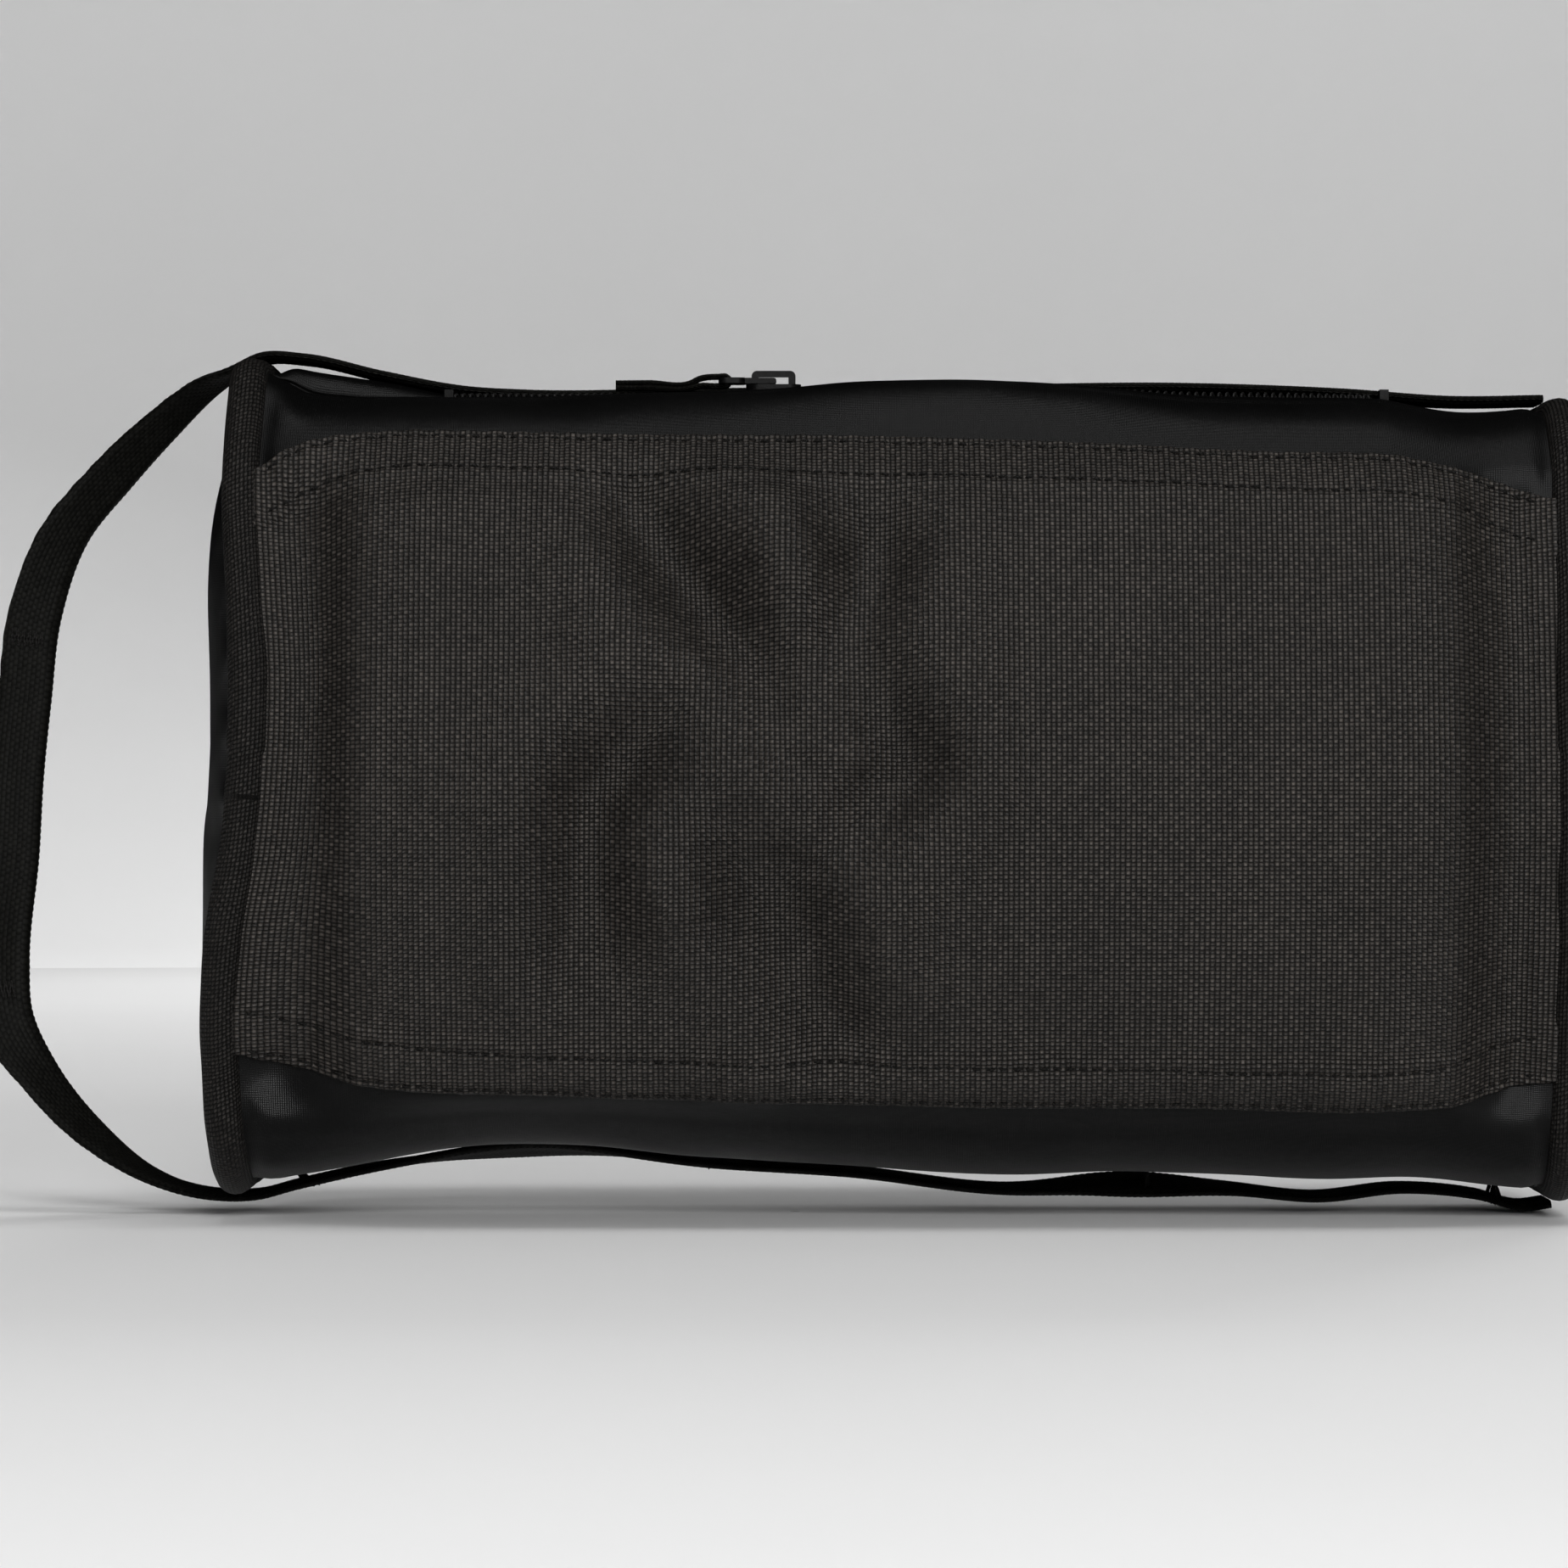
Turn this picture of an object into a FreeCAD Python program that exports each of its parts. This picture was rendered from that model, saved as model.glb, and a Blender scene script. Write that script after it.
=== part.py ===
"""Shaving kit bag: soft box bag with a top zip and a webbing carry handle at one end.

Frame, in millimetres: +X along the bag towards the plain end, +Z up, -Y towards the front
face. The origin is under the middle of the whole object, on the surface it stands on.
"""

import math
import os

import FreeCAD, Part  # noqa: E401

from FreeCAD import Vector

# ---- driving dimensions ----------------------------------------------------------------
SEAM_LEFT, SEAM_RIGHT = -94.8, 134.8   # where the wrap-round panels meet the piping
HALF_DEPTH = 62.0                      # front face to middle plane, at mid height
HALF_HEIGHT = 72.0                     # middle plane to the top or bottom panel
MID_Z = 77.0
FACE_R = 130.0                         # crown of the front and back faces
CORNER_R = 26.0                        # four long soft corners

WOVEN_T, COATED_T, LINING_T, TAPE_T = 1.0, 0.8, 0.5, 0.6
HEM_TOP, HEM_BOTTOM = 140.3, 22.4      # edges of the woven panels
HEM_LAP = 12.0                         # coated panels run this far under the woven ones
STITCH_ROWS = (1.8, 9.2)               # from a hem's edge to its two stitch rows
THREAD_R = 0.3

PIPING_R, PIPING_CORE_R = 3.4, 2.2
PIPING_OUT = 3.4                       # piping's centre line outside the panels' ends
SEAM_INSET = PIPING_R + 0.6            # end panels and bindings stay this far inside the skin
BINDING_REACH, BINDING_T = 7.0, 2.4
DOME_DEPTH = 10.4
DOME_STATIONS = ((0.0, 1.0), (0.42, 0.94), (0.82, 0.74), (1.0, 0.42))  # share of depth, of width

ZIP_Y = -18.0                          # zip lies in front of the webbing
ZIP_LEFT, ZIP_RIGHT = -62.0, 106.0
OPEN_LEFT, BOW = 2.0, 4.5              # right of here the zip is open, and bows out this far
MOUTH_HALF = 6.5                       # half the gap between the top strips where it is shut
COIL_W, COIL_H, COIL_GAP = 2.6, 1.8, 1.0
TAPE_HALF, TAPE_TAIL = 13.0, 4.0       # tape's half width, and its length past the coils
STOP_L, STOP_RISE = 1.6, 0.5           # zip stops: length, and height above the coils

SLIDER_X = -4.0
SLIDER_L, SLIDER_W = 10.0, 9.6
PLATE_T, PLATE_CORNER_R = 1.1, 2.2
UNDER_T, UNDER_INSET_X, UNDER_INSET_Y = 0.9, 0.5, 0.6   # plate under the tape
WEDGE_L, WEDGE_INSET = 2.8, 0.6        # post that joins the plates and parts the coils
FLANGE_INSET, FLANGE_LIFT = 2.2, 0.4   # rims beside the coils
RUN_GAP = 0.3                          # clearance of every running surface of the slider
CROWN_W, CROWN_L, CROWN_OPEN = 2.2, 8.0, 1.5
CROWN_T, CROWN_POST, CROWN_ROUND = 1.1, 1.3, 1.0
LINK_T, LINK_ARM, LINK_LEN = 1.0, 1.3, 10.0
LINK_CLEAR, LINK_FRAME, LINK_ROUND = 0.5, 1.1, 1.4
PLATE_START, ARM_START = 5.2, 5.4      # from the link's axis to its plate and to its arms' ends
EYE_START, EYE_END = 1.2, 2.8          # the ribbon's eye, from the link's outer end
RIBBON_W, RIBBON_T, RIBBON_LEN = 6.0, 0.9, 20.5
RIBBON_GAP, RIBBON_BEND = 0.1, 1.2     # clearance round the link's end, and how far the loop runs
RIBBON_TAPER = 1.5                     # over this length the two layers come together

WEB_W, WEB_T = 20.0, 2.0
WEB_Y = 0.0                            # middle of the webbing
LOOP_X, LOOP_OUT = -98.0, 49.95        # hinge line of the handle, and how far it stands out
STUB_END, HANDLE_START = -106.0, -115.5
RISE_START = -62.0
GRIP_LOW, GRIP_HIGH, GRIP_W = 38.0, 117.0, 10.0
TACK_T, TACK_INSET = 0.3, 1.5
TACK_HALF, TACK_FROM_END = 1.2, 4.0    # bar tacks on the grip: half length, and place
BASE_TACK_HALF_X, BASE_TACK_HALF_Y = 1.5, 8.0
BASE_TACK_PLACES = (SEAM_LEFT + 6, SEAM_LEFT + 80, SEAM_RIGHT - 70, SEAM_RIGHT - 6)
LINING_GAP, LINING_END_GAP = 0.2, 1.2  # between the lining and the tape, and the end seams

TOP_Z = MID_Z + HALF_HEIGHT
BOTTOM_Z = MID_Z - HALF_HEIGHT
LOOP_HALF_H = MID_Z + 1.0              # the loop reaches the floor below and clears the top


def box(x0, x1, y0, y1, z0, z1):
    return Part.makeBox(x1 - x0, y1 - y0, z1 - z0, Vector(x0, y0, z0))


def y_slab(points_xz, y0, y1):
    """Closed polygon in the X-Z plane, extruded from y0 to y1."""
    points = [Vector(x, y0, z) for x, z in points_xz]
    wire = Part.makePolygon(points + points[:1])
    return Part.Face(wire).extrude(Vector(0, y1 - y0, 0))


def corner_centre():
    """(y, z) of the upper front corner's centre, from the middle of the section, and the
    slope where the crowned face meets the corner."""
    meet = (HALF_HEIGHT - CORNER_R) / (1 - CORNER_R / FACE_R)
    slope = math.asin(meet / FACE_R)
    y_meet = -HALF_DEPTH + FACE_R * (1 - math.cos(slope))
    return y_meet + CORNER_R * math.cos(slope), meet - CORNER_R * math.sin(slope), slope


def outline(x, offset=0.0, scale=1.0):
    """The bag's cross-section at x as a closed wire, grown by offset, then scaled."""
    cy, cz, slope = corner_centre()
    face_r, corner_r = FACE_R + offset, CORNER_R + offset
    face_cy = -HALF_DEPTH + FACE_R

    def point(y, z):
        return Vector(x, y * scale, MID_Z + z * scale)

    def on_corner(angle, sy, sz):
        y = cy - corner_r * math.cos(angle)
        return point(sy * y, sz * (cz + corner_r * math.sin(angle)))

    half = (slope + math.pi / 2) / 2
    edges = []
    for sy, order in ((1, 1), (-1, -1)):
        face = (on_corner(slope, sy, -order), point(sy * (face_cy - face_r), 0),
                on_corner(slope, sy, order))
        edges.append(Part.Arc(*face).toShape())
        edges.append(Part.Arc(on_corner(slope, sy, order), on_corner(half, sy, order),
                              on_corner(math.pi / 2, sy, order)).toShape())
        edges.append(Part.makeLine(on_corner(math.pi / 2, sy, order),
                                   on_corner(math.pi / 2, -sy, order)))
        edges.append(Part.Arc(on_corner(math.pi / 2, -sy, order), on_corner(half, -sy, order),
                              on_corner(slope, -sy, order)).toShape())
    return Part.Wire(Part.__sortEdges__(edges))


def prism(x0, x1, offset):
    return Part.Face(outline(x0, offset)).extrude(Vector(x1 - x0, 0, 0))


def sleeve(x0, x1, outer, inner):
    return prism(x0, x1, outer).cut(prism(x0, x1, inner))


def face_y(z, offset):
    """How far in front of the middle plane the section reaches at height z."""
    cy, cz, slope = corner_centre()
    dz = abs(z - MID_Z)
    if dz <= FACE_R * math.sin(slope):
        reach = FACE_R + offset
        return HALF_DEPTH - FACE_R + math.sqrt(reach ** 2 - dz ** 2)
    reach = CORNER_R + offset
    return -cy + math.sqrt(reach ** 2 - (dz - cz) ** 2)


def mouth(half, x0, x1, z0, z1):
    """Slot along the zip: straight beside the shut chain, bowed where the zip is open."""
    slot = box(x0, x1, ZIP_Y - half, ZIP_Y + half, z0, z1)
    for side in (-1, 1):
        y = ZIP_Y + side * half
        start, end = Vector(OPEN_LEFT, y, z0), Vector(ZIP_RIGHT, y, z0)
        crest = Vector((OPEN_LEFT + ZIP_RIGHT) / 2, y + side * BOW, z0)
        edges = [Part.Arc(start, crest, end).toShape(), Part.makeLine(end, start)]
        slot = slot.fuse(Part.Face(Part.Wire(edges)).extrude(Vector(0, 0, z1 - z0)))
    return slot.removeSplitter()


def zip_side(side, x0, x1, z0, z1):
    """Everything on one side of the zip's centre line."""
    y0, y1 = sorted((ZIP_Y, ZIP_Y + side * 200))
    return box(x0, x1, y0, y1, z0, z1)


# ---- panels ----------------------------------------------------------------------------
def woven_panel(side):
    """side -1 is the front, +1 the back."""
    ring = sleeve(SEAM_LEFT, SEAM_RIGHT, WOVEN_T, 0)
    y0, y1 = sorted((0, side * (HALF_DEPTH + 5)))
    return ring.common(box(SEAM_LEFT, SEAM_RIGHT, y0, y1, HEM_BOTTOM, HEM_TOP))


def coated_strip(side):
    """A top strip, from under the woven hem, over the soft corner, to the zip."""
    ring = sleeve(SEAM_LEFT, SEAM_RIGHT, 0, -COATED_T)
    top = ring.common(zip_side(side, SEAM_LEFT, SEAM_RIGHT, HEM_TOP - HEM_LAP, TOP_Z + 5))
    return top.cut(mouth(MOUTH_HALF, SEAM_LEFT - 1, SEAM_RIGHT + 1, MID_Z, TOP_Z + 5))


def bottom_panel():
    ring = sleeve(SEAM_LEFT, SEAM_RIGHT, 0, -COATED_T)
    return ring.common(box(SEAM_LEFT, SEAM_RIGHT, -80, 80, -5, HEM_BOTTOM + HEM_LAP))


def topstitch(side):
    """Thread rows along both hems of a woven panel."""
    rows = []
    heights = [HEM_TOP - r for r in STITCH_ROWS] + [HEM_BOTTOM + r for r in STITCH_ROWS]
    for z in heights:
        y = side * (face_y(z, WOVEN_T) + 2.2 * THREAD_R)
        start = Vector(SEAM_LEFT + 1, y, z)
        rows.append(Part.makeCylinder(THREAD_R, SEAM_RIGHT - SEAM_LEFT - 2, start,
                                      Vector(1, 0, 0)))
    return Part.makeCompound(rows)


def lining_wrap():
    inset = COATED_T + TAPE_T + LINING_GAP
    ring = sleeve(SEAM_LEFT + LINING_END_GAP, SEAM_RIGHT - LINING_END_GAP, -inset,
                  -inset - LINING_T)
    return ring.cut(mouth(MOUTH_HALF, ZIP_LEFT - TAPE_TAIL, ZIP_RIGHT + TAPE_TAIL, MID_Z,
                          TOP_Z + 5))


def lining_end(seam, way):
    x0 = seam - way * 0.5
    return prism(x0, x0 - way * LINING_T, -COATED_T - TAPE_T - LINING_GAP - LINING_T)


# ---- ends: dome panel, piping with its cord, inner seam binding --------------------------
def dome(start, way, shrink):
    wires = [outline(start + way * depth * DOME_DEPTH, -SEAM_INSET, scale * shrink)
             for depth, scale in DOME_STATIONS]
    return Part.makeLoft(wires, True, False)


def end_panel(seam, way):
    start = seam + way * (PIPING_OUT - 0.8)
    return dome(start, way, 1.0).cut(dome(start - way * COATED_T, way, 0.988))


def piping_ring(seam, way, radius):
    x = seam + way * PIPING_OUT
    path = outline(x, -0.5)
    centre = Vector(x, 0, TOP_Z - 0.5)
    profile = Part.Wire(Part.makeCircle(radius, centre, Vector(0, 1, 0)))
    ring = path.makePipeShell([profile], True, False)
    return Part.Solid(ring) if ring.ShapeType != "Solid" else ring


def seam_binding(seam, way):
    x0 = seam + way * 0.1
    return sleeve(*sorted((x0, x0 + way * BINDING_T)), -SEAM_INSET,
                  -SEAM_INSET - BINDING_REACH)


# ---- zip -------------------------------------------------------------------------------
TAPE_TOP = TOP_Z - COATED_T
COIL_TOP = TAPE_TOP + COIL_H


def zip_band(side, x0, x1, outer, z0, z1):
    """One side's band beside the gap between the coils, from z0 to z1."""
    band = mouth(outer, x0, x1, z0, z1).cut(mouth(COIL_GAP / 2, x0 - 1, x1 + 1, z0 - 1, z1 + 1))
    return band.common(zip_side(side, x0, x1, z0, z1))


def zip_tape(side):
    """Tape sewn flat against the underside of its top strip."""
    x0, x1 = ZIP_LEFT - TAPE_TAIL, ZIP_RIGHT + TAPE_TAIL
    skin = sleeve(x0, x1, -COATED_T, -COATED_T - TAPE_T)
    return skin.common(zip_band(side, x0, x1, TAPE_HALF, MID_Z, TOP_Z))


def zip_coil(side):
    return zip_band(side, ZIP_LEFT, ZIP_RIGHT, COIL_GAP / 2 + COIL_W, TAPE_TOP, COIL_TOP)


def zip_stops():
    half = COIL_GAP / 2 + COIL_W
    gap = 0.2
    starts = (ZIP_LEFT - gap - STOP_L, ZIP_RIGHT + gap)
    return Part.makeCompound([box(x, x + STOP_L, ZIP_Y - half, ZIP_Y + half, TAPE_TOP,
                                  COIL_TOP + STOP_RISE) for x in starts])


def zip_end_tab(x0, x1):
    """Coated patch that closes the mouth past the zip's end."""
    return box(x0, x1, ZIP_Y - MOUTH_HALF, ZIP_Y + MOUTH_HALF, TAPE_TOP, TAPE_TOP + COATED_T)


PLATE_Z = COIL_TOP + RUN_GAP
CROWN_Z = PLATE_Z + PLATE_T
AXIS_Z = CROWN_Z + CROWN_OPEN / 2


def slider_body():
    """Top and bottom plates, the wedge between them and the two upper flanges."""
    x0, x1 = SLIDER_X - SLIDER_L / 2, SLIDER_X + SLIDER_L / 2
    y0, y1 = ZIP_Y - SLIDER_W / 2, ZIP_Y + SLIDER_W / 2
    floor = TAPE_TOP - TAPE_T - RUN_GAP
    flange_in = COIL_GAP / 2 + COIL_W + RUN_GAP
    top = box(x0, x1, y0, y1, PLATE_Z, CROWN_Z)
    corners = [e for e in top.Edges if abs(e.tangentAt(0).z) > 0.9]
    top = top.makeFillet(PLATE_CORNER_R, corners)
    bottom = box(x0 + UNDER_INSET_X, x1 - UNDER_INSET_X, y0 + UNDER_INSET_Y,
                 y1 - UNDER_INSET_Y, floor - UNDER_T, floor)
    wedge_half = COIL_GAP / 2 - 0.2
    wedge = box(x1 - WEDGE_INSET - WEDGE_L, x1 - WEDGE_INSET, ZIP_Y - wedge_half,
                ZIP_Y + wedge_half, floor, PLATE_Z)
    body = top.fuse(bottom).fuse(wedge)
    for side in (-1, 1):
        ya, yb = sorted((ZIP_Y + side * flange_in, ZIP_Y + side * (SLIDER_W / 2 - 0.05)))
        body = body.fuse(box(x0 + FLANGE_INSET, x1 - FLANGE_INSET, ya, yb,
                             TAPE_TOP + FLANGE_LIFT, PLATE_Z))
    return body.removeSplitter()


def slider_crown():
    """The arch over the top plate that the pull swings in."""
    x0, x1 = SLIDER_X - CROWN_L / 2, SLIDER_X + CROWN_L / 2
    y0, y1 = ZIP_Y - CROWN_W / 2, ZIP_Y + CROWN_W / 2
    arch = box(x0, x1, y0, y1, CROWN_Z, CROWN_Z + CROWN_OPEN + CROWN_T)
    tops = [e for e in arch.Edges if abs(e.tangentAt(0).y) > 0.9 and
            e.CenterOfMass.z > CROWN_Z + 1]
    arch = arch.makeFillet(CROWN_ROUND, tops)
    return arch.cut(box(x0 + CROWN_POST, x1 - CROWN_POST, y0 - 1, y1 + 1, CROWN_Z,
                        CROWN_Z + CROWN_OPEN))


def pull_link():
    """Metal link: a round bar in the crown, two arms and an eye for the ribbon."""
    arm_in = CROWN_W / 2 + LINK_CLEAR
    arm_out = arm_in + LINK_ARM
    eye_half = RIBBON_W / 2 + 0.3
    plate_half = eye_half + LINK_FRAME
    end = SLIDER_X - LINK_LEN
    z0, z1 = AXIS_Z - LINK_T / 2, AXIS_Z + LINK_T / 2
    plate = box(end, SLIDER_X - PLATE_START, ZIP_Y - plate_half, ZIP_Y + plate_half, z0, z1)
    uprights = [e for e in plate.Edges if abs(e.tangentAt(0).z) > 0.9]
    plate = plate.makeFillet(LINK_ROUND, uprights)
    link = plate.cut(box(end + EYE_START, end + EYE_END, ZIP_Y - eye_half, ZIP_Y + eye_half,
                         z0 - 1, z1 + 1))
    for side in (-1, 1):
        ya, yb = sorted((ZIP_Y + side * arm_in, ZIP_Y + side * arm_out))
        link = link.fuse(box(SLIDER_X - ARM_START, SLIDER_X, ya, yb, z0, z1))
    bar = Part.makeCylinder(LINK_T / 2, 2 * arm_out, Vector(SLIDER_X, ZIP_Y - arm_out, AXIS_Z),
                            Vector(0, 1, 0))
    return link.fuse(bar).removeSplitter()


def pull_ribbon():
    """Grosgrain ribbon folded through the eye, its two layers sewn together."""
    x_eye = SLIDER_X - LINK_LEN + EYE_END - 0.2
    x_out = SLIDER_X - LINK_LEN - RIBBON_TAPER
    x_end = x_eye - RIBBON_LEN - RIBBON_BEND
    high = AXIS_Z + LINK_T / 2 + RIBBON_GAP
    low = AXIS_Z - LINK_T / 2 - RIBBON_GAP
    profile = [(x_eye, low - RIBBON_T), (x_eye, high + RIBBON_T),
               (x_out, high + RIBBON_T), (x_end, AXIS_Z + RIBBON_T),
               (x_end, AXIS_Z - RIBBON_T), (x_out, low - RIBBON_T)]
    gap = [(x_eye - RIBBON_BEND, low), (x_eye - RIBBON_BEND, high), (x_out, high),
           (x_out - RIBBON_TAPER, AXIS_Z), (x_out, low)]
    y0, y1 = ZIP_Y - RIBBON_W / 2, ZIP_Y + RIBBON_W / 2
    return y_slab(profile, y0, y1).cut(y_slab(gap, y0 - 1, y1 + 1))


# ---- webbing ---------------------------------------------------------------------------
def loop_band(thickness, half_width):
    """The half ellipse that the handle follows, as a band of webbing."""
    def half_disc(shrink):
        tall, wide = LOOP_HALF_H - shrink, LOOP_OUT - shrink
        curve = Part.Ellipse(Vector(0, 0, 0), tall, wide)
        face = Part.Face(Part.Wire(curve.toShape()))
        face.Placement = FreeCAD.Placement(
            Vector(LOOP_X, WEB_Y - half_width, LOOP_HALF_H),
            FreeCAD.Rotation(Vector(0, 0, 1), Vector(1, 0, 0), Vector(0, 1, 0), "ZXY"))
        return face.extrude(Vector(0, 2 * half_width, 0))
    ring = half_disc(0).cut(half_disc(thickness))
    return ring.common(box(LOOP_X - 60, LOOP_X, -40, 60, -5, 2 * LOOP_HALF_H + 5))


def webbing_run(low):
    """A fixed run: the bottom one lies flat, the top one rises over the end seam."""
    y0, y1 = WEB_Y - WEB_W / 2, WEB_Y + WEB_W / 2
    loop_top = 2 * LOOP_HALF_H
    if low:
        run = box(LOOP_X, SEAM_RIGHT - 0.4, y0, y1, 0, WEB_T)
        reach = (-1, MID_Z)
    else:
        run = y_slab([(SEAM_RIGHT - 0.4, TOP_Z), (RISE_START, TOP_Z),
                      (LOOP_X, loop_top - WEB_T), (LOOP_X, loop_top),
                      (RISE_START, TOP_Z + WEB_T), (SEAM_RIGHT - 0.4, TOP_Z + WEB_T)], y0, y1)
        reach = (MID_Z, loop_top + 1)
    stub = loop_band(WEB_T, WEB_W / 2).common(
        box(STUB_END, LOOP_X, y0, y1, *reach))
    return run.fuse(stub).removeSplitter()


def handle_strap():
    """The loose loop: flat webbing arms, and a grip folded in half with its edges inwards."""
    arms = loop_band(WEB_T, WEB_W / 2).common(
        box(LOOP_X - 60, HANDLE_START, -40, 60, -1, 2 * LOOP_HALF_H + 1))
    arms = arms.cut(box(LOOP_X - 60, LOOP_X, -40, 60, GRIP_LOW, GRIP_HIGH))
    grip = loop_band(GRIP_W, WEB_T).common(
        box(LOOP_X - 60, LOOP_X, -40, 60, GRIP_LOW, GRIP_HIGH))
    return arms.fuse(grip).removeSplitter()


def grip_tacks():
    """Bar tacks through both layers, on the two faces at each end of the grip."""
    plates = loop_band(GRIP_W - TACK_INSET, WEB_T + TACK_T)
    plates = plates.cut(loop_band(TACK_INSET, WEB_T + 2 * TACK_T))
    plates = plates.cut(loop_band(GRIP_W, WEB_T))
    tacks = [plates.common(box(LOOP_X - 60, LOOP_X, -40, 60, z - TACK_HALF, z + TACK_HALF))
             for z in (GRIP_LOW + TACK_FROM_END, GRIP_HIGH - TACK_FROM_END)]
    return Part.makeCompound([solid for tack in tacks for solid in tack.Solids])


def webbing_tacks():
    """Sewn tacks that hold the lower webbing up to the bottom panel."""
    return Part.makeCompound([
        box(x - BASE_TACK_HALF_X, x + BASE_TACK_HALF_X, WEB_Y - BASE_TACK_HALF_Y,
            WEB_Y + BASE_TACK_HALF_Y, WEB_T, BOTTOM_Z) for x in BASE_TACK_PLACES])


def build():
    nodes = {
        "front_woven_panel": woven_panel(-1),
        "back_woven_panel": woven_panel(1),
        "front_top_strip": coated_strip(-1),
        "back_top_strip": coated_strip(1),
        "bottom_panel": bottom_panel(),
        "front_topstitch": topstitch(-1),
        "back_topstitch": topstitch(1),
        "lining_wrap": lining_wrap(),
        "zip_tape_front": zip_tape(-1),
        "zip_tape_back": zip_tape(1),
        "zip_coil_front": zip_coil(-1),
        "zip_coil_back": zip_coil(1),
        "zip_stops": zip_stops(),
        "zip_end_tab_left": zip_end_tab(SEAM_LEFT, ZIP_LEFT - TAPE_TAIL),
        "zip_end_tab_right": zip_end_tab(ZIP_RIGHT + TAPE_TAIL, SEAM_RIGHT),
        "slider_body": slider_body(),
        "slider_crown": slider_crown(),
        "pull_link": pull_link(),
        "pull_ribbon": pull_ribbon(),
        "webbing_top": webbing_run(False),
        "webbing_bottom": webbing_run(True),
        "webbing_tacks": webbing_tacks(),
        "handle_strap": handle_strap(),
        "handle_grip_tacks": grip_tacks(),
    }
    for name, seam, way in (("left", SEAM_LEFT, -1), ("right", SEAM_RIGHT, 1)):
        core = piping_ring(seam, way, PIPING_CORE_R)
        nodes[f"{name}_end_panel"] = end_panel(seam, way)
        nodes[f"{name}_piping_cover"] = piping_ring(seam, way, PIPING_R).cut(core)
        nodes[f"{name}_piping_cord"] = core
        nodes[f"{name}_seam_binding"] = seam_binding(seam, way)
        nodes[f"{name}_lining_end"] = lining_end(seam, way)
    return nodes


def main():
    os.makedirs("parts", exist_ok=True)
    for name, shape in build().items():
        if not shape.isValid() or shape.Volume <= 0:
            print("check this solid:", name, shape.isValid(), shape.Volume)
        shape.exportStep(f"parts/{name}.step")
    print("slider axis height", round(AXIS_Z, 3))


main()
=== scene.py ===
"""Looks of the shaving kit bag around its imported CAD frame. Blender 4.5.

The shapes are worked out in millimetres and become metres when a mesh is made. The bag is
one lofted skin with two coordinates: x along the bag, and girth, the distance round the
section from the middle of the front face, upwards. Every sewn part is cut from that skin.
"""

import math

import bpy
import numpy as np
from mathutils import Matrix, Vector


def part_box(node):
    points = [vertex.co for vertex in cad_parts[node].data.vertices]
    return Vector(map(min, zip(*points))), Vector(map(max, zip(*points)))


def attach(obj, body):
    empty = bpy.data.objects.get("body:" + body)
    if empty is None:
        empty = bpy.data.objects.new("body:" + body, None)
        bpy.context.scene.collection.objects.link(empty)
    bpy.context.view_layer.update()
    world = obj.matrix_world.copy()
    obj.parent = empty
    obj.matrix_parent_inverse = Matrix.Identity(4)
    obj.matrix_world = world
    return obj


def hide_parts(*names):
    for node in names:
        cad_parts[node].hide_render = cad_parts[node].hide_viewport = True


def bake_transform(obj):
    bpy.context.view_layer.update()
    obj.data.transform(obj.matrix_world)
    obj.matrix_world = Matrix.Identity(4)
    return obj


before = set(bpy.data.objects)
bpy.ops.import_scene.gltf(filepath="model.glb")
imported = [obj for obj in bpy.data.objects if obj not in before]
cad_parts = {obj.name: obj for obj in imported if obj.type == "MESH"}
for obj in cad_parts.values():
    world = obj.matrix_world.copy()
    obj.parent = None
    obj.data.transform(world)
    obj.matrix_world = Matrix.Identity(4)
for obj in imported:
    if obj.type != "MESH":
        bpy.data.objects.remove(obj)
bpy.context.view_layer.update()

MM = 0.001


def span(node):
    """Lowest and highest corner of a CAD node, in millimetres."""
    low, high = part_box(node)
    return np.array(low) / MM, np.array(high) / MM


def middle(node):
    low, high = span(node)
    return (low + high) / 2


# ---- sizes -------------------------------------------------------------------------------
WOVEN_T, COATED_T, TAPE_T, LINING_T = 1.0, 0.8, 0.6, 0.5
FACE_R, CORNER_R = 130.0, 26.0
SEAM_LEFT, SEAM_RIGHT = span("front_woven_panel")[0][0], span("front_woven_panel")[1][0]
TOP_Z, BOTTOM_Z = span("back_top_strip")[1][2], span("bottom_panel")[0][2]
MID_Z, HALF_HEIGHT = (TOP_Z + BOTTOM_Z) / 2, (TOP_Z - BOTTOM_Z) / 2
HALF_DEPTH = -span("front_woven_panel")[0][1] - WOVEN_T
WEB_Y, ZIP_Y = middle("webbing_top")[1], middle("slider_body")[1]
ZIP_LEFT, ZIP_RIGHT = span("zip_coil_front")[0][0], span("zip_coil_front")[1][0]
TAPE_LEFT, TAPE_RIGHT = span("zip_tape_front")[0][0], span("zip_tape_front")[1][0]
COIL_BASE, COIL_TOP = span("zip_coil_front")[0][2], span("zip_coil_front")[1][2]
SLIDER_X = middle("slider_body")[0]
PIPING_X = {"left": middle("left_piping_cord")[0], "right": middle("right_piping_cord")[0]}

CORNER_Z = HALF_HEIGHT - CORNER_R
SLOPE = math.asin(CORNER_Z / (FACE_R - CORNER_R))
CORNER_Y = -HALF_DEPTH + FACE_R - (FACE_R - CORNER_R) * math.cos(SLOPE)
FACE_LENGTH = FACE_R * SLOPE
CORNER_LENGTH = CORNER_R * (math.pi / 2 - SLOPE)
TOP_MIDDLE = FACE_LENGTH + CORNER_LENGTH - CORNER_Y
HALF_GIRTH = 2 * TOP_MIDDLE

HEM_LAP, HEM_EXTRA, HEM_WIDTH = 12.0, 0.7, 11.5   # lap under a hem, its extra height and its width
STITCH_ROWS = (1.8, 9.2)                          # distances from a hem's edge
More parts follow.
